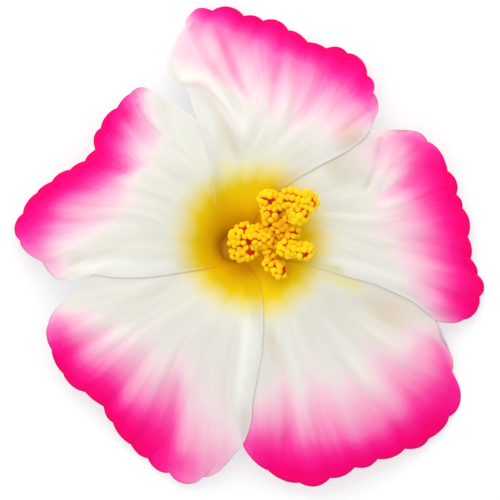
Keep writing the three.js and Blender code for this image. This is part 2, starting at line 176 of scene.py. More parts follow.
def mesh_piece(
    name: str,
    points: Array,
    faces: Faces,
    material: Material,
    fields: dict[str, Array] | None = None,
    uv: Array | None = None,
) -> Piece:
    """Makes a smooth-shaded mesh object at the origin.

    Args:
        name: Name of the object.
        points: Vertices in metres.
        faces: Corners of each face, seen anticlockwise from outside.
        material: The finish of all faces.
        fields: Values for each vertex that the finish reads, by name.
        uv: Place of each vertex on the piece's own map.

    Returns:
        The object, linked to the scene.
    """
    mesh = bpy.data.meshes.new(name)
    mesh.from_pydata(points.tolist(), [], faces)
    mesh.materials.append(material)
    mesh.polygons.foreach_set("use_smooth", [True] * len(mesh.polygons))
    for key, values in (fields or {}).items():
        attribute = mesh.attributes.new(key, "FLOAT", "POINT")
        attribute.data.foreach_set("value", np.ascontiguousarray(values, dtype=np.float32).ravel())
    if uv is not None:
        corners = np.empty(len(mesh.loops), dtype=np.int32)
        mesh.loops.foreach_get("vertex_index", corners)
        layer = mesh.uv_layers.new(name="length_and_width")
        layer.data.foreach_set("uv", uv[corners].astype(np.float32).ravel())
    mesh.update()
    piece = bpy.data.objects.new(name, mesh)
    bpy.context.scene.collection.objects.link(piece)
    return piece


def grid_faces(numbers: Array, turned: bool = False) -> Faces:
    """Lists the faces of a grid of vertices.

    Args:
        numbers: Vertex numbers by row and column.
        turned: True for faces that look the other way.

    Returns:
        The faces, row by row.
    """
    parts = (numbers[:-1, :-1], numbers[1:, :-1], numbers[1:, 1:], numbers[:-1, 1:])
    near, out, far, beside = (part.ravel().tolist() for part in parts)
    return list(zip(near, beside, far, out) if turned else zip(near, out, far, beside))


def ring_faces(numbers: Array, turned: bool = False) -> Faces:
    """Returns the faces of a grid whose last column runs on into the first."""
    return grid_faces(np.hstack([numbers, numbers[:, :1]]), turned)


def fan_faces(pole: int, ring: Array, turned: bool) -> Faces:
    """Returns the triangles between a pole and a closed ring of vertices."""
    pairs = zip(ring.tolist(), np.roll(ring, -1).tolist())
    return [(pole, there, here) if turned else (pole, here, there) for here, there in pairs]


def sheet_values(upper: Array, lower: Array) -> Array:
    """Returns the values of a sheet's vertices, from grids for its two sides with one edge."""
    inner = lower[1:-1, 1:-1]
    return np.concatenate([side.reshape(-1, *side.shape[2:]) for side in (upper, inner)])


def sheet_piece(
    name: str,
    upper: Array,
    lower: Array,
    material: Material,
    fields: dict[str, Array],
    uv: Array,
) -> Piece:
    """Makes a closed sheet whose two sides meet in a common edge.

    Args:
        name: Name of the object.
        upper: Vertices of the upper side in metres, by row and column.
        lower: Vertices of the lower side.
        material: The finish of the sheet.
        fields: Grids of the values that the finish reads, by name.
        uv: Grid of the places on the piece's own map.

    Returns:
        The object, linked to the scene.
    """
    rows, columns = uv.shape[:2]
    numbers = np.arange(rows * columns).reshape(rows, columns)
    under = numbers.copy()
    inner = np.arange((rows - 2) * (columns - 2)).reshape(rows - 2, columns - 2)
    under[1:-1, 1:-1] = rows * columns + inner
    faces = grid_faces(numbers) + grid_faces(under, turned=True)
    values = {key: sheet_values(grid, grid) for key, grid in fields.items()}
    points = sheet_values(upper, lower)
    return mesh_piece(name, points, faces, material, values, sheet_values(uv, uv))


def edge_round(distance: Array, radius: float) -> Array:
    """Returns the share of a sheet's thickness near its rounded edge, 0 at the edge itself."""
    gap = 1.0 - np.clip(distance / radius, 0.0, 1.0)
    return np.sqrt(np.maximum(0.0, 1.0 - gap * gap))


def declare(piece: Piece, node: str) -> None:
    """Says what a finished piece rides on and stands for, and hides that CAD node.

    Args:
        piece: The finished piece.
        node: CAD node that the piece replaces.
    """
    piece.name = GROWN + node
    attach(piece, BODY)
    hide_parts(node)
    corners = len(piece.data.loops) - 2 * len(piece.data.polygons)
    log.info("%s: %d triangles, stands for %s", piece.name, corners, node)


def evaluated_piece(name: str, source: Piece) -> Piece:
    """Turns an object with modifiers into a plain mesh object and removes the first one.

    Args:
        name: Name of the new object.
        source: The object with live modifiers.

    Returns:
        A new object at the origin whose mesh is the evaluated one.
    """
    graph = bpy.context.evaluated_depsgraph_get()
    mesh = bpy.data.meshes.new_from_object(source.evaluated_get(graph))
    bpy.data.objects.remove(source)
    mesh.name = name
    piece = bpy.data.objects.new(name, mesh)
    bpy.context.scene.collection.objects.link(piece)
    return piece


# ---- nodes


def linear(tint: str) -> tuple[float, ...]:
    """Gives the linear colour of a tint.

    Args:
        tint: Six hex digits.

    Returns:
        Red, green, blue and an alpha of 1.
    """
    channels = [int(tint[i : i + 2], 16) / 255.0 for i in (0, 2, 4)]
    spread = [c / 12.92 if c <= 0.04045 else ((c + 0.055) / 1.055) ** 2.4 for c in channels]
    return (*spread, 1.0)


class Nodes:
    """A tree of nodes, with a short call that adds to it."""

    def __init__(self, tree: bpy.types.NodeTree) -> None:
        """Keeps the tree."""
        self.tree = tree

    @staticmethod
    def find(sockets: Iterable[Socket], key: str | None) -> Socket:
        """Returns the first socket with an identifier or a name, or just the first."""
        return next(each for each in sockets if key in (each.identifier, each.name, None))

    def feed(self, source: object, target: Socket) -> None:
        """Links a socket to another, or sets a plain value on it.

        Args:
            source: The socket or the value.
            target: The input that takes it.
        """
        if isinstance(source, Socket):
            self.tree.links.new(source, target)
        else:
            target.default_value = source

    def add(
        self,
        kind: str,
        feeds: dict[str, object] | None = None,
        out: str | None = None,
        **settings: object,
    ) -> Socket:
        """Adds a node.

        Args:
            kind: Type of the node.
            feeds: A socket or a plain value for each input, by its identifier or name.
            out: Identifier or name of the output that is wanted; the first if none is given.
            settings: Settings of the node.

        Returns:
            The wanted output.
        """
        made = self.tree.nodes.new(kind)
        for key, value in settings.items():
            setattr(made, key, value)
        for key, source in (feeds or {}).items():
            self.feed(source, self.find(made.inputs, key))
        return self.find(made.outputs, out)

    def math(self, operation: str, *numbers: object) -> Socket:
        """Returns the result of an operation on numbers, each a socket or a plain value."""
        feeds = dict(zip(("Value", "Value_001", "Value_002"), numbers))
        return self.add("ShaderNodeMath", feeds, operation=operation)


# ---- finishes


@dataclass(frozen=True)
class Skin:
    """What is the same all over a surface.

    `specular` is the strength of its gloss, `scatter` the share of the light that goes through
    the skin and `scatter_depth` how far, `relief` how much its fine relief shows and
    `relief_depth` the depth of that; depths are in metres.
    """

    roughness: float
    specular: float
    scatter: float = 0.0
    scatter_depth: float = 0.0
    relief: float = 0.0
    relief_depth: float = 0.0


class Shade(Nodes):
    """The nodes of one material, with short calls for what the finishes share."""

    def __init__(self, name: str) -> None:
        """Starts a material with a bare Principled surface.

        Args:
            name: Name of the material.
        """
        self.material = bpy.data.materials.new(name)
        self.material.use_nodes = True
        super().__init__(self.material.node_tree)
        self.inputs = self.tree.nodes["Principled BSDF"].inputs

    def value(self, name: str) -> Socket:
        """Returns the socket of a value that the mesh holds for each vertex."""
        return self.add("ShaderNodeAttribute", out="Fac", attribute_name=name)

    def noise(self, kind: str, stretch: Point3, detail: float) -> Socket:
        """Gives a soft noise.

        Args:
            kind: Object, for metres in the frame, or UV, for the piece's own map.
            stretch: Scale of the pattern along each axis.
            detail: How much fine detail it has.

        Returns:
            The socket of the noise, from 0 to 1.
        """
        place = self.add("ShaderNodeTexCoord", out=kind)
        place = self.add("ShaderNodeMapping", {"Vector": place, "Scale": stretch})
        feeds = {"Vector": place, "Scale": 1.0, "Detail": detail}
        return self.add("ShaderNodeTexNoise", feeds, "Fac")

    def grain(self, scale: float, detail: float) -> Socket:
        """Returns the socket of a soft noise that is as fine along each axis of the frame."""
        return self.noise("Object", (scale, scale, scale), detail)

    def ramp(self, factor: Socket, stops: Stops) -> Socket:
        """Gives a colour that changes with a number.

        Args:
            factor: The number, from 0 to 1.
            stops: Places and tints, in rising order.

        Returns:
            The socket of the colour.
        """
        colour = self.add("ShaderNodeValToRGB", {"Fac": factor})
        elements = colour.node.color_ramp.elements
        while len(elements) < len(stops):
            elements.new(1.0)
        for element, (place, tint) in zip(elements, stops):
            element.position = place
            element.color = linear(tint)
        return colour

    def mix(self, factor: Socket, first: Socket, second: Socket | str) -> Socket:
        """Mixes two colours.

        Args:
            factor: The share of the second colour.
            first: The first colour.
            second: The second colour, a socket or a tint.

        Returns:
            The socket of the mix.
        """
        second = linear(second) if isinstance(second, str) else second
        feeds = {"Factor_Float": factor, "A_Color": first, "B_Color": second}
        return self.add("ShaderNodeMix", feeds, "Result_Color", data_type="RGBA")

    def finished(self, skin: Skin, colour: Socket | None, height: Socket | None) -> Material:
        """Ends the material.

        Args:
            skin: What is the same all over.
            colour: The colour of the surface.
            height: The height of its fine relief, from 0 to 1.

        Returns:
            The material.
        """
        if colour is not None:
            self.feed(colour, self.inputs["Base Color"])
        if height is not None:
            feeds = {"Strength": skin.relief, "Distance": skin.relief_depth, "Height": height}
            self.feed(self.add("ShaderNodeBump", feeds), self.inputs["Normal"])
        for key, value in (
            ("Roughness", skin.roughness),
            ("Specular IOR Level", skin.specular),
            ("Subsurface Weight", skin.scatter),
            ("Subsurface Scale", skin.scatter_depth),
            ("Subsurface Radius", (1.0, 0.9, 0.85)),
        ):
            self.inputs[key].default_value = value
        return self.material


@dataclass(frozen=True)
class Wash:
    """A tint laid over a surface where the mesh holds a value, at a share of its strength."""

    value: str
    share: float
    tint: str


@dataclass(frozen=True)
class PetalFinish:
    """White petal flesh that turns pink towards the rim and yellow in the throat, with painted
    shade and painted highlights laid over it.
    """

    skin: Skin = Skin(0.7, 0.05, 0.3, 0.0012, 0.35, 0.00012)
    whites: Stops = ((0.3, "d8d6cb"), (0.5, "dddcd3"), (0.7, "e3e2d8"))
    # Painted shade in the creases and a painted highlight on the ridges, laid under the pink.
    under_pink: tuple[Wash, ...] = (Wash("hollow", 0.7, "d0c8b6"), Wash("crest", 0.7, "f8f7ee"))
    pink: Stops = (
        (0.0, "e9e7de"), (0.1, "efd9dd"), (0.25, "f5b0cd"), (0.45, "fa7dba"),
        (0.65, "fb4ca6"), (0.82, "fb1e92"), (0.95, "fa0078"), (1.0, "fa0068"),
    )
    pink_streaks: float = 0.6
    pink_sharpness: float = 8.0
    yellow: Stops = (
        (0.25, "e3e1ca"), (0.34, "e4dcac"), (0.38, "e6d88c"), (0.42, "e8d46c"), (0.455, "ead046"),
        (0.48, "edcb22"), (0.505, "f2c604"), (0.62, "fac200"), (0.78, "ffc000"), (0.9, "ffbc00"),
    )
    yellow_share: Stops = ((0.14, "000000"), (0.24, "a0a0a0"), (0.32, "ffffff"))
    yellow_wisps: float = 0.12
    # Washes over everything: painted shade in the throat's well, a peach patch of painted shade, a
    # painted highlight along the parted margins and a painted dark line of shade along the rim and
    # margins.
    over_all: tuple[Wash, ...] = (
        Wash("well", 0.5, "94480e"), Wash("warm", 1.0, "deb48c"),
        Wash("margin", 0.7, "fff2e9"), Wash("edge", 0.55, "84083e"),
    )
    cell_share: float = 0.35

    def _washed(self, shade: Shade, colour: Socket, washes: tuple[Wash, ...]) -> Socket:
        """Lays washes over a colour.

        Args:
            shade: The material's nodes.
            colour: The colour underneath.
            washes: The washes, in order.

        Returns:
            The socket of the washed colour.
        """
        for wash in washes:
            strength = shade.math("MULTIPLY", shade.value(wash.value), wash.share)
            colour = shade.mix(strength, colour, wash.tint)
        return colour

    def material(self) -> Material:
        """Builds the material.

        It reads the petal's own map and the mesh values for the pink, the throat's yellow and the
        washes:
        painted shade in the creases, in the throat's well, in a peach patch and as a dark line
        along the rim and margins, and painted highlights on the ridges and along the parted
        margins.

        Returns:
            The material.
        """
        shade = Shade("petal_flesh")
        fibres = shade.noise("UV", (70.0, 5.0, 1.0), 3.0)
        clouds = shade.noise("UV", (9.0, 1.6, 1.0), 2.0)
        white = self._washed(shade, shade.ramp(clouds, self.whites), self.under_pink)
        pinkness = shade.value("pink")
        middle = shade.math("MULTIPLY", pinkness, shade.math("SUBTRACT", 1.0, pinkness))
        middle = shade.math("MULTIPLY", middle, self.pink_streaks)
        pink = shade.math("MULTIPLY_ADD", shade.math("SUBTRACT", fibres, 0.5), middle, pinkness)
        sharp = shade.math("MULTIPLY", pink, self.pink_sharpness)
        flesh = shade.mix(sharp, white, shade.ramp(pink, self.pink))
        wisps = shade.math("SUBTRACT", shade.noise("UV", (8.0, 1.2, 1.0), 1.2), 0.5)
        inner = shade.math("MULTIPLY_ADD", wisps, self.yellow_wisps, shade.value("throat"))
        share = shade.ramp(inner, self.yellow_share)
        flesh = shade.mix(share, flesh, shade.ramp(inner, self.yellow))
        flesh = self._washed(shade, flesh, self.over_all)
        veins = shade.noise("UV", (150.0, 7.0, 1.0), 2.0)
        height = shade.math("MULTIPLY_ADD", shade.grain(2600.0, 1.0), self.cell_share, veins)
        return shade.finished(self.skin, flesh, height)


@dataclass(frozen=True)
class AntherFinish:
    """Waxy yellow pollen sacs, each a little different, over an orange-red heart."""

    sac_skin: Skin = Skin(0.5, 0.12, 0.15, 0.0004, 0.3, 0.00008)
    core_skin: Skin = Skin(0.6, 0.3, relief=0.5, relief_depth=0.0002)
    tones: Stops = ((0.0, "f2a404"), (0.4, "fec802"), (1.0, "ffde08"))
    tone_start: float = 0.15
    grain_share: float = 0.3
    heart: Stops = ((0.3, "b01400"), (0.7, "d83000"))

    def sac(self) -> Material:
        """Builds the material of the beads, which reads the tone of each.

        Returns:
            The material.
        """
        shade = Shade("anther_sac")
        grain = shade.grain(2200.0, 2.0)
        tone = shade.math("MULTIPLY_ADD", grain, self.grain_share, shade.value("tone"))
        colour = shade.ramp(shade.math("SUBTRACT", tone, self.tone_start), self.tones)
        return shade.finished(self.sac_skin, colour, grain)

    def core(self) -> Material:
        """Builds the material of the head that the beads sit on.

        Returns:
            The material.
        """
        shade = Shade("anther_core")
        grain = shade.grain(900.0, 3.0)
        return shade.finished(self.core_skin, shade.ramp(grain, self.heart), grain)


@dataclass(frozen=True)
class ColumnFinish:
    """The column's flesh: pale green-yellow in the throat, orange-red towards the anthers."""

    skin: Skin = Skin(0.5, 0.3, 0.1, 0.0006, 0.4, 0.0001)
    low: float = 0.006
    high: float = 0.017
    tones: Stops = ((0.0, "c9b04a"), (0.3, "e0a52a"), (0.6, "d86a14"), (1.0, "c23a08"))
    tone_start: float = 0.1
    grain_share: float = 0.2

    def material(self) -> Material:
        """Builds the material, which changes with the height above the table.

        Returns:
            The material.
        """
        shade = Shade("column_flesh")
        place = shade.add("ShaderNodeTexCoord", out="Object")
        height = shade.add("ShaderNodeSeparateXYZ", {"Vector": place}, "Z")
        feeds = {"Value": height, "From Min": self.low, "From Max": self.high}
        rise = shade.add("ShaderNodeMapRange", feeds)
        grain = shade.noise("Object", (1400.0, 1400.0, 420.0), 3.0)
        rise = shade.math("MULTIPLY_ADD", grain, self.grain_share, rise)
        colour = shade.ramp(shade.math("SUBTRACT", rise, self.tone_start), self.tones)
        return shade.finished(self.skin, colour, grain)


@dataclass(frozen=True)
class GreenFinish:
    """Green skin with paler ribs, fine fibres and a little down."""

    name: str
    dark: str
    light: str
    fibre_stretch: Point3
    heart: str = "f0a604"
    skin: Skin = Skin(0.6, 0.25, 0.1, 0.0006, 0.5, 0.00015)
    rib_share: float = 0.35
    down_share: float = 0.5

    def material(self) -> Material:
        """Builds the material, which reads rib, heart and the piece's own map.

        Returns:
            The material.
        """
        shade = Shade(self.name)
        fibres = shade.noise("UV", self.fibre_stretch, 4.0)
        tone = shade.math("ADD", fibres, shade.grain(420.0, 3.0))
        tone = shade.math("MULTIPLY", tone, 0.5)
        tone = shade.math("MULTIPLY_ADD", shade.value("rib"), self.rib_share, tone)
        green = shade.ramp(tone, ((0.3, self.dark), (0.75, self.light)))
        green = shade.mix(shade.value("heart"), green, self.heart)
        down = shade.grain(3200.0, 1.0)
        height = shade.math("MULTIPLY_ADD", down, self.down_share, fibres)
        return shade.finished(self.skin, green, height)


# ---- the petals' common surface


@dataclass(frozen=True)
class CommonSurface:
    """The funnel that all petals follow: out of the throat, over a crest, down to the table."""

    throat_radius: float = 3.6
    throat_height: float = 4.6
    crest_rise: float = 10.5
    funnel_width: float = 6.2
    droop_start: float = 16.0
    droop_reach: float = 56.0
    droop_depth: float = 12.8
    droop_power: float = 1.5
    arch_height: float = 0.8
    arch_start: float = 18.0
    arch_full: float = 34.0
    first_petal: float = 76.0

    def height(self, plan: Array) -> Array:
        """Gives the height of the surface.

        Args:
            plan: Places in plan.

        Returns:
            The height over each place.
        """
        radius = np.hypot(plan[..., 0], plan[..., 1])
        angle = np.arctan2(plan[..., 1], plan[..., 0])
        fall = np.exp(-(radius - self.throat_radius) / self.funnel_width)
        past = np.maximum(0.0, radius - self.droop_start) / (self.droop_reach - self.droop_start)
        droop = self.droop_depth * past**self.droop_power
        crown = np.cos(PETAL_COUNT * (angle - math.radians(self.first_petal)))
        arch = self.arch_height * crown * smooth(radius, self.arch_start, self.arch_full)
        return self.throat_height + self.crest_rise * (1.0 - fall) - droop + arch

    def normal(self, plan: Array) -> Array:
        """Gives the unit normals of the surface.

        Args:
            plan: Places in plan.

        Returns:
            The normals over the places, which point up and into the funnel.
        """
        step = 0.01
        slope_x, slope_y = (
            (self.height(plan + offset) - self.height(plan - offset)) / (2.0 * step)
            for offset in (np.array([step, 0.0]), np.array([0.0, step]))
        )
        return unit(np.stack([-slope_x, -slope_y, np.ones_like(slope_x)], axis=-1))


# ---- petals


class Lies(Enum):
    """How a petal's margin meets its neighbour's; the value is the side of the common surface."""

    OVER = 1.0
    UNDER = -1.0


@dataclass(frozen=True)
class Fold:
    """A ridge, or with a height below zero a crease, pressed into a petal along a line in plan.

    The side to the left of the line is `lean` times as wide as the side to its right. The fold
    reaches its full height after the share `rises` of its length.
    """

    line: tuple[Point2, ...]
    height: float
    width: float
    lean: float = 1.0
    rises: float = 0.3
    sinks: Point2 = (0.72, 1.0)

    def relief(self, plan: Array) -> Array:
        """Gives the height that the fold adds.

        Args:
            plan: Places in plan.

        Returns:
            The height at each place, below zero in a crease.
        """
        points = Spline(self.line).at(np.linspace(0.0, 1.0, 17))
        steps = np.diff(points, axis=0)
        offset = plan[..., None, :] - points[:-1]
        ahead = np.clip((offset * steps).sum(axis=-1) / (steps * steps).sum(axis=-1), 0.0, 1.0)
        gaps = np.linalg.norm(offset - ahead[..., None] * steps, axis=-1)
        sides = steps[:, 0] * offset[..., 1] - steps[:, 1] * offset[..., 0]
        nearest = gaps.argmin(axis=-1)[..., None]
        gap, side, part = (
            np.take_along_axis(each, nearest, axis=-1)[..., 0] for each in (gaps, sides, ahead)
        )
        place = (nearest[..., 0] + part) / len(steps)
        width = np.where(side > 0.0, self.width * self.lean, self.width)
        ends = smooth(place, 0.0, self.rises) * (1.0 - smooth(place, *self.sinks))
        return self.height * np.exp(-((gap / width) ** 2)) * ends


@dataclass(frozen=True)
class PetalShape:
    """One petal's outline, folds and colours.

    `claw` is its arc on the throat in degrees, clockwise edge first. `free_past` is the radius
    past which each margin is clear of the neighbour. `fan` is where the petal's fibres spread
    from. `golden` is how far the yellow of the throat reaches next to the other petals. `warm` is
    a peach-tinted patch of painted shade: its middle, its radius and how strong it is.
    `clockwise` and `counter` are the side margins from the claw outwards. `notches` are the
    notches of the rim, from the clockwise to the counter-clockwise corner, and `scallops` the
    height of the lobe between each two of them. Each row of `pink` is a share of the rim with the
    pink's strength there and how far in it is half as strong and gone. `blushes` and `stains` are
    lines of extra pink and extra yellow.
    """

    name: str
    claw: Point2
    margins: tuple[Lies, Lies]
    tip_drop: float
    free_past: Point2
    fan: Point2
    seed: int
    clockwise: tuple[Point2, ...]
    counter: tuple[Point2, ...]
    notches: tuple[Point2, ...]
    scallops: tuple[float, ...]
    pink: tuple[tuple[float, float, float, float], ...]
    folds: tuple[Fold, ...]
    golden: float = 1.0
    warm: tuple[float, float, float, float] = (0.0, 0.0, 1.0, 0.0)
    blushes: tuple[Fold, ...] = ()
    stains: tuple[Fold, ...] = ()


